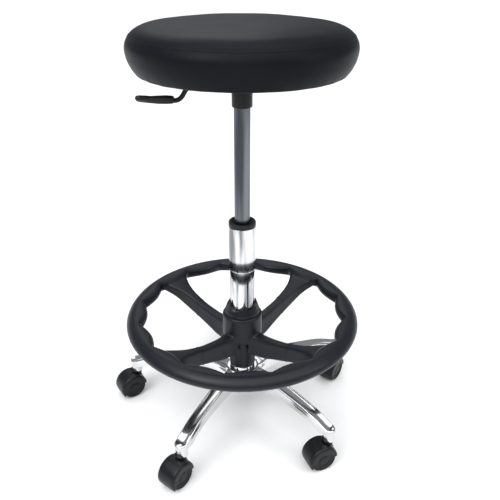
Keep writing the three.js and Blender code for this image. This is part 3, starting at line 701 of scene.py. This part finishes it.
# ---------------------------------------------------------------- gas spring
# A satin grey steel pressure tube slides over a fixed rod and piston. A push on the pin in
# its top opens the valve, so the seat can rise or sink. The tube turns on the rod's foot.
def satin_tube():
    """Drawn steel tube with a dull grey finish, brushed round its girth, with long lengthwise
    streaks of painted reflection in its colour.
    """
    made = Finish("satin_tube", Metallic=1.0)
    rings = made.noise(700.0, 3.0, 0.6, made.stretched(0.05, 0.05, 3.0))
    cloud = made.noise(30.0, 3.0)
    # Painted reflections: long lengthwise streaks, with a little random cloud, set the colour from
    # dark to light grey.
    reflection_streak = made.noise(60.0, 1.0, 0.4, made.stretched(1.0, 1.0, 0.05))
    reflection_swirl = (reflection_streak - 0.5) * 4.0 + cloud * 0.3
    shade = reflection_swirl.math("ADD", reflection_swirl, 0.3, clamp=True)
    colour = made.blend(shade, (0.060, 0.065, 0.075), (0.190, 0.200, 0.220))
    rough = made.between(rings * 0.6 + cloud * 0.4, 0.26, 0.40)
    return made.drive(colour, rough, rings, 0.00003)


def black_rubber():
    """Matt rubber with a fine bloom."""
    made = Finish("black_rubber", Specular_IOR_Level=0.3)
    bloom = made.noise(240.0, 4.0)
    colour = made.blend(bloom, (0.008, 0.008, 0.008), (0.022, 0.022, 0.022))
    rough = made.between(bloom, 0.75, 0.95)
    return made.drive(colour, rough, bloom, 0.00006)


rubber = black_rubber()
tube_low, tube_high = span("gas_cylinder")
TUBE_WALL = 0.0014
PIN_HOLE = 0.0044
tube_outline = rounded([
    (tube_high.x - TUBE_WALL, tube_low.z, 0.0003), (tube_high.x, tube_low.z, 0.0012),
    (tube_high.x, tube_high.z - 0.0005, 0.0018), (PIN_HOLE, tube_high.z, 0.0004),
    (PIN_HOLE, tube_high.z - 0.008, 0.0004),
    (tube_high.x - TUBE_WALL, tube_high.z - 0.008, 0.0004),
])
piece("pressure_tube", turned(tube_outline, 128), "seat", "grey_steel", satin_tube(),
      "gas_cylinder")
dress("rod_guide_seal", rubber)
dress("piston_rod", bright_steel)
dress("piston", grip_nylon)
dress("release_pin", bright_steel)


# ---------------------------------------------------------------- column
# A chromed outer tube is pressed over a longer, narrower tube with five rolled grooves. A
# nylon bush in the top guides the gas spring, whose rod stands on a thrust bearing below.
def mirror_chrome():
    """Polished chrome plate: long streaks of painted reflection down the tube in its colour, with
    smears and hairlines.
    """
    made = Finish("mirror_chrome", Metallic=1.0)
    smear = made.noise(24.0, 4.0, 0.6)
    # Painted reflections: long upright streaks, mixed with the smears, set the colour from dark to
    # bright where dark surroundings would be mirrored.
    reflection_streak = made.noise(70.0, 1.0, 0.4, made.stretched(1.0, 1.0, 0.10))
    reflection_swirl = (reflection_streak - 0.47) * 6.0 + (smear - 0.5) * 0.5
    painted_reflection = reflection_swirl.math("ADD", reflection_swirl, 0.5, clamp=True)
    hair = made.noise(1400.0, 2.0, 0.6, made.stretched(1.0, 1.0, 0.04))
    colour = made.blend(painted_reflection, (0.20, 0.21, 0.225), (0.74, 0.75, 0.76))
    rough = made.between(smear * 0.7 + hair * 0.3, 0.05, 0.13)
    return made.drive(colour, rough, hair, 0.000004)


chrome = mirror_chrome()
bush_nylon = moulded_nylon("bush_nylon", (0.006, 0.006, 0.007), (0.012, 0.012, 0.013), 0.34, 0.5)
sleeve_low, sleeve_high = span("column_tube")
COLUMN_RADIUS = sleeve_high.x
COLUMN_WALL = 0.0014
outer_outline = rounded([
    (COLUMN_RADIUS - COLUMN_WALL, sleeve_low.z, 0.0003), (COLUMN_RADIUS, sleeve_low.z, 0.0024),
    (COLUMN_RADIUS, sleeve_high.z, 0.0006), (COLUMN_RADIUS - COLUMN_WALL, sleeve_high.z, 0.0003),
], 8)
piece("outer_tube", turned(outer_outline, 160), "root", "chrome", chrome, "column_tube")

GROOVES = 5
FIRST_GROOVE = math.radians(-44)
GROOVE_HALF = 0.0017
GROOVE_DEPTH = 0.0017
FLUTED_WALL = 0.0035
fluted_low, fluted_high = span("fluted_column")
FLUTED_RADIUS = 0.02325


def off_nearest(angle, first, count):
    """How far an angle is from the nearest of count evenly spaced ones, the first given."""
    pitch = TAU / count
    return (angle - first + pitch / 2) % pitch - pitch / 2


fluted_angle = all_round(900)
off_groove = np.abs(off_nearest(fluted_angle, FIRST_GROOVE, GROOVES)) * FLUTED_RADIUS
sunk = np.clip((GROOVE_HALF + 0.0005 - off_groove) / 0.0010, 0, 1)
groove = GROOVE_DEPTH * sunk * sunk * (3 - 2 * sunk)
fluted_outline = rounded([
    (FLUTED_RADIUS - FLUTED_WALL, fluted_low.z, 0.0004), (FLUTED_RADIUS, fluted_low.z, 0.0008),
    (FLUTED_RADIUS, fluted_high.z, 0.0006), (FLUTED_RADIUS - FLUTED_WALL, fluted_high.z, 0.0004),
])
outside = fluted_outline[:, 0] > FLUTED_RADIUS - 0.0015
fluted_radii = fluted_outline[:, 0] - groove[:, None] * outside
piece("grooved_tube", wrapped(fluted_radii, fluted_outline[:, 1]), "root", "chrome", chrome,
      "fluted_column", crease=50)

bush_low, bush_high = span("guide_bush")
BUSH_BORE = 0.01435
BUSH_NECK = 0.0192
bush_outline = rounded([
    (BUSH_BORE, bush_low.z, 0.0005), (BUSH_NECK, bush_low.z, 0.0010),
    (BUSH_NECK, sleeve_high.z + 0.0003, 0.0002), (COLUMN_RADIUS, sleeve_high.z + 0.0003, 0.0004),
    (COLUMN_RADIUS, bush_high.z, 0.0030), (COLUMN_RADIUS - 0.0036, bush_high.z, 0.0012),
    (BUSH_BORE + 0.0012, bush_high.z - 0.0055, 0.0012), (BUSH_BORE, bush_high.z - 0.0057, 0.0003),
], 7)
piece("spring_bush", turned(bush_outline, 128), "root", "black_nylon", bush_nylon, "guide_bush")
for node in ("column_end_plate", "thrust_washer_lower", "thrust_ball_cage",
             "thrust_washer_upper", "retaining_clip"):
    dress(node, bright_steel, 0.0003)
dress("rubber_buffer", rubber, 0.0006)


# ---------------------------------------------------------------- foot ring
# One moulding in black nylon: a rim with a lobed inner edge for grip, four deep spokes that
# droop to a hub, and a split collet through the hub that clamps on the grooved tube.
ring_nylon = moulded_nylon("ring_nylon", (0.0042, 0.0056, 0.0090), (0.0085, 0.0105, 0.0155),
                           0.30, 0.44, 1900.0)
RIM_RADIUS = 0.223
RIM_TOP = span("foot_ring")[1].z
RIM_BOTTOM = RIM_TOP - 0.0265
RIM_MIDDLE = 0.206
LOBE_RADIUS = 0.184
CUSP_RADIUS = 0.197
LOBES = 16
SPOKES = 4
FIRST_SPOKE = math.radians(48)
HUB_RADIUS = 0.0385
HUB_BORE = 0.0276
HUB_TOP = 0.2298
HUB_BOTTOM = 0.172

rim_section = eased([
    (LOBE_RADIUS, RIM_TOP - 0.0110), (LOBE_RADIUS + 0.0026, RIM_TOP - 0.0046),
    (0.1945, RIM_TOP - 0.0010), (0.2065, RIM_TOP), (0.2165, RIM_TOP - 0.0040),
    (RIM_RADIUS, RIM_TOP - 0.0125), (RIM_RADIUS - 0.0014, RIM_BOTTOM + 0.0065),
    (RIM_RADIUS - 0.0090, RIM_BOTTOM), (0.2010, RIM_BOTTOM + 0.0002),
    (LOBE_RADIUS + 0.0040, RIM_BOTTOM + 0.0060),
], 56, closed=True)
rim_angle = all_round(768)
swell = np.abs(np.cos(LOBES / 2 * (rim_angle - FIRST_SPOKE)))
inner_edge = CUSP_RADIUS - (CUSP_RADIUS - LOBE_RADIUS) * swell ** 0.8
inward = np.clip((RIM_MIDDLE - rim_section[:, 0]) / (RIM_MIDDLE - LOBE_RADIUS), 0, 1)
rim_radii = rim_section[:, 0] + inward * (inner_edge[:, None] - LOBE_RADIUS)
rim = wrapped(rim_radii, rim_section[:, 1])

SPOKE = [  # distance from the column, half width, top, underside
    (0.030, 0.0170, 0.1930, 0.1450), (0.045, 0.0130, 0.1920, 0.1480),
    (0.065, 0.0110, 0.1935, 0.1510), (0.085, 0.0104, 0.1965, 0.1585),
    (0.107, 0.0100, 0.2010, 0.1660), (0.125, 0.0106, 0.2065, 0.1730),
    (0.142, 0.0120, 0.2120, 0.1800), (0.155, 0.0142, 0.2170, 0.1870),
    (0.168, 0.0182, 0.2220, 0.1960), (0.180, 0.0240, 0.2262, 0.2040),
    (0.192, 0.0300, 0.2290, 0.2105), (0.200, 0.0340, 0.2300, 0.2140),
]
RIB_STEPS = 110
RIB_SIDES = 40
reach, half, top, underside = eased(SPOKE, RIB_STEPS).T
around_rib = all_round(RIB_SIDES)
rib_y = squared_off(np.cos(around_rib), 0.36)
rib_z = squared_off(np.sin(around_rib), 0.36)
draft = 1 - 0.10 * rib_z
rib_places = np.stack([
    np.broadcast_to(reach[:, None], (RIB_STEPS, RIB_SIDES)), half[:, None] * rib_y * draft,
    (top + underside)[:, None] / 2 + (top - underside)[:, None] / 2 * rib_z], -1)
rib = capped(rib_places)
spoke_turns = [math.degrees(FIRST_SPOKE) + number * 360 / SPOKES for number in range(SPOKES)]
spokes = [round_moved(rib, degrees) for degrees in spoke_turns]
hub_outline = rounded([
    (HUB_BORE, HUB_BOTTOM, 0.001), (HUB_RADIUS - 0.0025, HUB_BOTTOM, 0.0030),
    (HUB_RADIUS, 0.186, 0.004), (HUB_RADIUS, HUB_TOP - 0.001, 0.0040),
    (HUB_RADIUS - 0.0040, HUB_TOP, 0.0015), (HUB_BORE, HUB_TOP, 0.0008),
])
RING_CELL = 0.00165
RING_ROUNDS = 5


def grown_together(made, cell, rounds):
    """Melts overlapping closed shapes into one skin of small cells, and rounds its corners."""
    skin = made.modifiers.new("skin", "REMESH")
    skin.mode = "VOXEL"
    skin.voxel_size = cell
    skin.use_smooth_shade = True
    fair = made.modifiers.new("fair", "SMOOTH")
    fair.factor = 0.5
    fair.iterations = rounds
    graph = bpy.context.evaluated_depsgraph_get()
    solid = bpy.data.meshes.new_from_object(made.evaluated_get(graph))
    made.modifiers.clear()
    made.data = solid
    solid.shade_smooth()


ring = piece("foot_ring_moulding", joined(rim, *spokes, turned(hub_outline, 160)), "foot_ring",
             "black_nylon", ring_nylon, "foot_ring")
grown_together(ring, RING_CELL, RING_ROUNDS)

# A sharp mould line crosses each spoke where two halves of the tool meet.
MOULD_LINE_REACH = 0.118
line_half, line_top, line_under = (np.interp(MOULD_LINE_REACH, reach, values)
                                   for values in (half, top, underside))
line_height = (line_top + line_under) / 2 + (line_top - line_under) / 2 * rib_z
line_loop = np.stack([0 * rib_y + MOULD_LINE_REACH, line_half * rib_y * draft, line_height], -1)
line_middle = np.array([MOULD_LINE_REACH, 0, (line_top + line_under) / 2])
line_rows = [line_middle + (line_loop - line_middle) * grow + (shift, 0, 0)
             for grow, shift in ((0.9, -0.0005), (1.035, -0.0003), (1.035, 0.0003), (0.9, 0.0005))]
mould_line = capped(np.array(line_rows))
mould_lines = [round_moved(mould_line, degrees) for degrees in spoke_turns]
piece("spoke_mould_lines", joined(*mould_lines), "foot_ring", "black_nylon", ring_nylon, crease=60)

COLLET_BORE = 0.0239
COLLET_BOTTOM = 0.109
COLLET_RADIUS = 0.0254
COLLET_STEP = 0.0262
COLLET_NECK = 0.0270
FLANGE_RADIUS = 0.0336
CONE_RADIUS = 0.0318
CONE_BOTTOM = HUB_TOP + 0.0100
CROWN_RADIUS = 0.0262
CROWN_TIP = 0.261
CROWN_ROOT = 0.243
NOTCH_HALF = 0.0149
NOTCH_RADIUS = 0.0245
collet_outline = rounded([
    (COLLET_BORE, COLLET_BOTTOM, 0.0004), (COLLET_RADIUS, COLLET_BOTTOM, 0.0010),
    (COLLET_RADIUS, 0.1570, 0.0006), (COLLET_STEP, 0.1580, 0.0005), (COLLET_STEP, 0.1640, 0.0010),
    (COLLET_NECK, 0.1710, 0.0010), (COLLET_NECK, HUB_TOP + 0.0002, 0.0001),
    (FLANGE_RADIUS, HUB_TOP + 0.0002, 0.0008), (FLANGE_RADIUS, HUB_TOP + 0.0058, 0.0022),
    (CONE_RADIUS, CONE_BOTTOM, 0.0030), (CROWN_RADIUS, CROWN_TIP, 0.0010),
    (COLLET_BORE, CROWN_TIP, 0.0003),
], 7)
crown_angle = all_round(900)
off_notch = np.abs(off_nearest(crown_angle, FIRST_GROOVE, GROOVES)) * NOTCH_RADIUS
finger = 1 - np.sqrt(np.clip(1 - (off_notch / NOTCH_HALF) ** 2, 0, 1))
collet_radius, collet_height = collet_outline.T
above = np.clip((collet_height - CROWN_ROOT) / (CROWN_TIP - CROWN_ROOT), 0, 1)
crown_height = np.where(collet_height > CROWN_ROOT,
                        CROWN_ROOT + above * (CROWN_TIP - CROWN_ROOT) * finger[:, None],
                        collet_height)
cone_radius = np.interp(crown_height, [CONE_BOTTOM, CROWN_TIP], [CONE_RADIUS, CROWN_RADIUS])
on_cone = (collet_height > CONE_BOTTOM + 0.001) & (collet_radius > COLLET_BORE + 0.001)
crown_radius = np.where(on_cone, cone_radius, collet_radius)
piece("crown_collet", wrapped(crown_radius, crown_height), "ring_collet", "black_nylon",
      ring_nylon, "ring_collet", crease=48)


# ---------------------------------------------------------------- star base
# Polished aluminium casting: a hub bored for the column and five arched legs, shallowly
# dished on top and hollow underneath, each ending in a round nose over a caster's socket.
def polished_aluminium():
    """Buffed casting: bright, with long soft buffing marks and a slight haze."""
    made = Finish("polished_aluminium", Metallic=1.0)
    haze = made.noise(30.0, 4.0, 0.6)
    buffed = made.noise(420.0, 3.0, 0.7, made.stretched(0.5, 0.5, 2.5))
    colour = made.blend(haze, (0.62, 0.63, 0.64), (0.72, 0.73, 0.735))
    rough = made.between(haze * 0.6 + buffed * 0.4, 0.08, 0.20)
    return made.drive(colour, rough, buffed, 0.000012)


aluminium = polished_aluminium()
LEGS = 5
FIRST_LEG = 25.6
STEM_CIRCLE = 0.229
NOSE_RADIUS = 0.012
LEG_START = 0.0262
LEG_TOP = np.array([(0.010, 0.1000), (0.030, 0.1005), (0.045, 0.1045), (0.062, 0.1085),
                    (0.080, 0.1105), (0.106, 0.1100), (0.150, 0.1050), (0.185, 0.0995),
                    (0.210, 0.0915), (0.227, 0.0850), (0.245, 0.0820)])
LEG_UNDER = np.array([(0.010, 0.084), (0.075, 0.088), (0.150, 0.088), (0.190, 0.082),
                      (0.215, 0.073), (0.245, 0.069)])
LEG_HALF = np.array([(0.010, 0.024), (0.035, 0.019), (0.060, 0.0145), (0.106, 0.0128),
                     (0.185, 0.0118), (STEM_CIRCLE, 0.0120)])
FLARE = 0.22
FLARE_FADE = 0.014
CASTING_WALL = 0.0032
CASTING_LIP = CASTING_WALL - 0.0008


def soft_line(points, at):
    """Heights read off a smooth curve through a few points."""
    line = eased(points, 400)
    return np.interp(at, line[:, 0], line[:, 1])


def leg_shape():
    """A leg along +X. Round its outline runs a section: from the spine under the top, down
    the inside of the wall, round its lip, up the outside, over the edge and back to the spine."""
    side_x = np.linspace(LEG_START, STEM_CIRCLE, 60)
    side_y = soft_line(LEG_HALF, side_x)
    nose = np.linspace(0, math.pi, 34)[1:-1]
    back_y = np.linspace(-side_y[0], side_y[0], 8)[1:-1]
    x = np.concatenate([side_x, STEM_CIRCLE + NOSE_RADIUS * np.sin(nose), side_x[::-1],
                        0 * back_y + LEG_START])
    y = np.concatenate([side_y, NOSE_RADIUS * np.cos(nose), -side_y[::-1], back_y])
    spine = np.clip(x, LEG_START + 0.008, STEM_CIRCLE)
    to_spine = np.stack([spine - x, -y], -1)
    depth = np.linalg.norm(to_spine, axis=1)
    to_spine /= depth[:, None]
    flare = FLARE * np.abs(y) * np.clip((STEM_CIRCLE - x) / FLARE_FADE, 0, 1)
    section = [  # how far in from the top edge, how far down the wall, and how far above or below
        (1.0, 0.0, -0.0050), (CASTING_WALL, 0.0, -0.0050), (CASTING_WALL, 0.10, -0.0062),
        (CASTING_WALL, 1.0, 0.0012), (CASTING_LIP, 1.0, 0.0), (0.0007, 1.0, 0.0),
        (0.0, 1.0, 0.0008),
        (0.0, 0.6, 0.0), (0.0, 0.3, 0.0), (0.0, 0.0, -0.0034), (0.0001, 0.0, -0.0022),
        (0.0006, 0.0, -0.0011), (0.0014, 0.0, -0.0004), (0.0024, 0.0, 0.0),
        (0.0032, 0.0, 0.0), (0.0044, 0.0, -0.0004), (0.0066, 0.0, -0.0009),
        (0.0090, 0.0, -0.0012), (1.0, 0.0, -0.0013),
    ]
    rows = []
    for inset, down, lift in section:
        inward_by = np.minimum(inset, depth)
        px = x + to_spine[:, 0] * inward_by
        py = y + to_spine[:, 1] * inward_by + np.sign(y) * flare * down
        high, low = soft_line(LEG_TOP, px), soft_line(LEG_UNDER, px)
        rows.append(np.stack([px, py, high * (1 - down) + low * down + lift], -1))
    places = np.array(rows)
    return places.reshape(-1, 3), grid_faces(len(section), len(x), False, True)


BASE_BORE = 0.0239
BASE_BOTTOM = 0.050
BASE_TOP = 0.101
BASE_RADIUS = 0.034
BOSS_BORE = 0.0059
BOSS_RADIUS = 0.0116
BOSS_BOTTOM = 0.0566
BOSS_TOP = 0.072
base_hub = rounded([
    (BASE_BORE, BASE_BOTTOM, 0.0006), (0.0300, BASE_BOTTOM, 0.0020), (0.0320, 0.062, 0.0020),
    (BASE_RADIUS, 0.084, 0.0030), (BASE_RADIUS, BASE_TOP, 0.0050), (BASE_BORE, BASE_TOP, 0.0010),
], 8)
boss_outline = rounded([
    (BOSS_BORE, BOSS_BOTTOM, 0.0004), (BOSS_RADIUS, BOSS_BOTTOM, 0.0016),
    (BOSS_RADIUS, BOSS_TOP, 0.0006), (BOSS_BORE, BOSS_TOP, 0.0004),
], 6)
one_leg = leg_shape()
casting = [turned(base_hub, 128)]
for number in range(LEGS):
    degrees = FIRST_LEG + number * 360 / LEGS
    at = math.radians(degrees)
    stem = (STEM_CIRCLE * math.cos(at), STEM_CIRCLE * math.sin(at), 0)
    casting.append(round_moved(one_leg, degrees))
    casting.append(round_moved(turned(boss_outline, 48), 0, stem))
piece("star_casting", joined(*casting), "root", "polished_aluminium", aluminium, "star_base",
      crease=40)


# ---------------------------------------------------------------- casters
# Twin-wheel furniture casters in black nylon: a hood with a skirt down each side, a web
# between the wheels that holds the axle, and a steel stem, grooved near its top, in the leg.
hood_nylon = moulded_nylon("hood_nylon", (0.0030, 0.0036, 0.0050), (0.0068, 0.0078, 0.0098),
                           0.28, 0.44, 1700.0)
wheel_nylon = moulded_nylon("wheel_nylon", (0.0028, 0.0032, 0.0042), (0.0070, 0.0076, 0.0088),
                            0.34, 0.55, 1400.0)
TRAIL = 0.016
WHEEL_RADIUS = 0.025
HOOD_RADIUS = 0.0284
HOOD_HALF = 0.0200
HOOD_WALL = 0.0015
HOOD_SHOULDER = 0.0048
END_TURN = 0.02
HOOD_TAIL = math.radians(-32)
HOOD_NOSE = math.radians(172)
WEB_HALF = 0.0064
WEB_EASE = 0.0008
SKIRT_CUT = 0.0215
SKIRT_OFFSET = np.array([-0.004, -0.008])


def skirt_edge(sweep):
    """How far from the axle the skirt begins: where a ray meets the round cut, and closing to
    a point at the tail."""
    along = SKIRT_OFFSET[0] * np.cos(sweep) + SKIRT_OFFSET[1] * np.sin(sweep)
    cut = along + np.sqrt(along ** 2 + SKIRT_CUT ** 2 - SKIRT_OFFSET @ SKIRT_OFFSET)
    point = HOOD_RADIUS - 0.0010 - 0.019 * (sweep - HOOD_TAIL)
    return np.minimum(np.maximum(cut, point), HOOD_RADIUS - 0.0012)


def hood_shape():
    """The hood's wall. At each angle round the axle its section goes up one skirt, over the
    rounded shoulder and top, down the other skirt, and back along the inside. Both ends
    close on the middle of the wall."""
    sweep = np.linspace(HOOD_TAIL, HOOD_NOSE, 110)
    lowest = skirt_edge(sweep)[:, None]
    shoulder = np.linspace(0, math.pi / 2, 7)
    round_off = HOOD_SHOULDER

    def half_section(inset):
        """Distance from the axle and sideways place, from the skirt's edge to the middle."""
        outer, side = HOOD_RADIUS - inset, HOOD_HALF - inset
        climb = lowest + (outer - round_off - lowest) * np.linspace(0, 1, 6)[None]
        climb = np.minimum(climb, outer - 0.0002)
        corner = outer - round_off + round_off * np.sin(shoulder)[1:]
        far = np.concatenate([climb, np.broadcast_to(corner, (len(sweep), 6))], 1)
        far = np.concatenate([far, np.full((len(sweep), 2), outer + 0.0003)], 1)
        wide = np.concatenate([np.full(6, side), side - round_off + round_off
                               * np.cos(shoulder)[1:], [side * 0.4, 0.0]])
        return np.maximum(far, lowest), np.broadcast_to(wide, far.shape)

    far_out, wide_out = half_section(0.0)
    far_in, wide_in = half_section(HOOD_WALL)
    far_out, far_in = (np.concatenate([far, far[:, -2::-1]], 1) for far in (far_out, far_in))
    wide_out, wide_in = (np.concatenate([wide, -wide[:, -2::-1]], 1)
                         for wide in (wide_out, wide_in))
    middle_far, middle_wide = (far_out + far_in) / 2, (wide_out + wide_in) / 2
    end_far = np.concatenate([middle_far, middle_far[:, ::-1]], 1)
    end_wide = np.concatenate([middle_wide, middle_wide[:, ::-1]], 1)
    far = np.concatenate([end_far[:1], np.concatenate([far_out, far_in], 1), end_far[-1:]])
    wide = np.concatenate([end_wide[:1], np.concatenate([wide_out, -wide_in], 1), end_wide[-1:]])
    turn_by = np.concatenate([[HOOD_TAIL - END_TURN], sweep, [HOOD_NOSE + END_TURN]])[:, None]
    places = np.stack([TRAIL + far * np.cos(turn_by), wide,
                       WHEEL_RADIUS + far * np.sin(turn_by)], -1)
    return places.reshape(-1, 3), grid_faces(len(places), places.shape[1], False, True)


def slab(outline, half, ease):
    """A plate of half thickness along Y from an outline in X and Z, with eased edges."""
    middle = outline.mean(0)
    reach = np.linalg.norm(outline - middle, axis=1, keepdims=True)
    rows = []
    for shrink, y in ((reach, -half), (ease, -half), (0, ease - half), (0, half - ease),
                      (ease, half), (reach, half)):
        flat = middle + (outline - middle) * (1 - shrink / reach)
        rows.append(np.stack([flat[:, 0], np.full(len(flat), y), flat[:, 1]], -1))
    places = np.array(rows)
    return places.reshape(-1, 3), grid_faces(6, len(outline), False, True)


def about_axle(outline, turns, flip):
    """An outline of (radius, distance along the axle) turned round the axle, towards +Y where
    flip is 1 and towards -Y where it is -1."""
    places, faces = turned(outline, turns)
    return np.stack([places[:, 0] + TRAIL, flip * places[:, 2],
                     places[:, 1] + WHEEL_RADIUS], -1), faces


web_outline = rounded([
    (-0.0090, 0.0440, 0.004), (-0.0080, 0.0300, 0.006), (0.0060, 0.0150, 0.006),
    (0.0240, 0.0140, 0.006), (0.0330, 0.0290, 0.008), (0.0260, 0.0480, 0.008),
], 6)
neck_outline = rounded([
    (0.0061, 0.0350, 0.0003), (0.0085, 0.0350, 0.0010), (0.0090, 0.0555, 0.0012),
    (0.0061, 0.0560, 0.0003),
])
wheel_outline = rounded([
    (0.0034, 0.0072, 0.0003), (0.0236, 0.0072, 0.0008), (0.0250, 0.0086, 0.0012),
    (0.0250, 0.0162, 0.0018), (0.0228, 0.0182, 0.0008), (0.0212, 0.0182, 0.0005),
    (0.0206, 0.0172, 0.0004), (0.0172, 0.0170, 0.0005), (0.0165, 0.0178, 0.0003),
    (0.0154, 0.0178, 0.0003), (0.0147, 0.0168, 0.0005), (0.0090, 0.0166, 0.0006),
    (0.0082, 0.0182, 0.0006), (0.0001, 0.0186, 0.00002), (0.0001, 0.0180, 0.00002),
    (0.0034, 0.0180, 0.0002),
], 5)
hood_whole = joined(hood_shape(), slab(web_outline, WEB_HALF, WEB_EASE), turned(neck_outline, 40))

for number in range(1, LEGS + 1):
    caster = f"caster_{number}"
    stem_at = np.array(joints[f"{caster}_swivel"]["pos_m"]) * (1, 1, 0) - COLUMN
    axle_at = np.array(joints[f"{caster}_left_roll"]["pos_m"]) * (1, 1, 0) - COLUMN
    trail = axle_at - stem_at
    heading = math.degrees(math.atan2(trail[1], trail[0]))
    piece(f"{caster}_shell", round_moved(hood_whole, heading, stem_at), caster, "black_nylon",
          hood_nylon, f"{caster}_hood", crease=42)
    for side, flip in (("left", 1), ("right", -1)):
        tread = about_axle(wheel_outline, 96, flip)
        piece(f"{caster}_tyre_{side}", round_moved(tread, heading, stem_at), f"{caster}_{side}",
              "black_nylon", wheel_nylon, f"{caster}_wheel_{side}", crease=38)
    dress(f"{caster}_axle", bright_steel, 0.0003)
    dress(f"{caster}_stem", bright_steel, 0.0003)
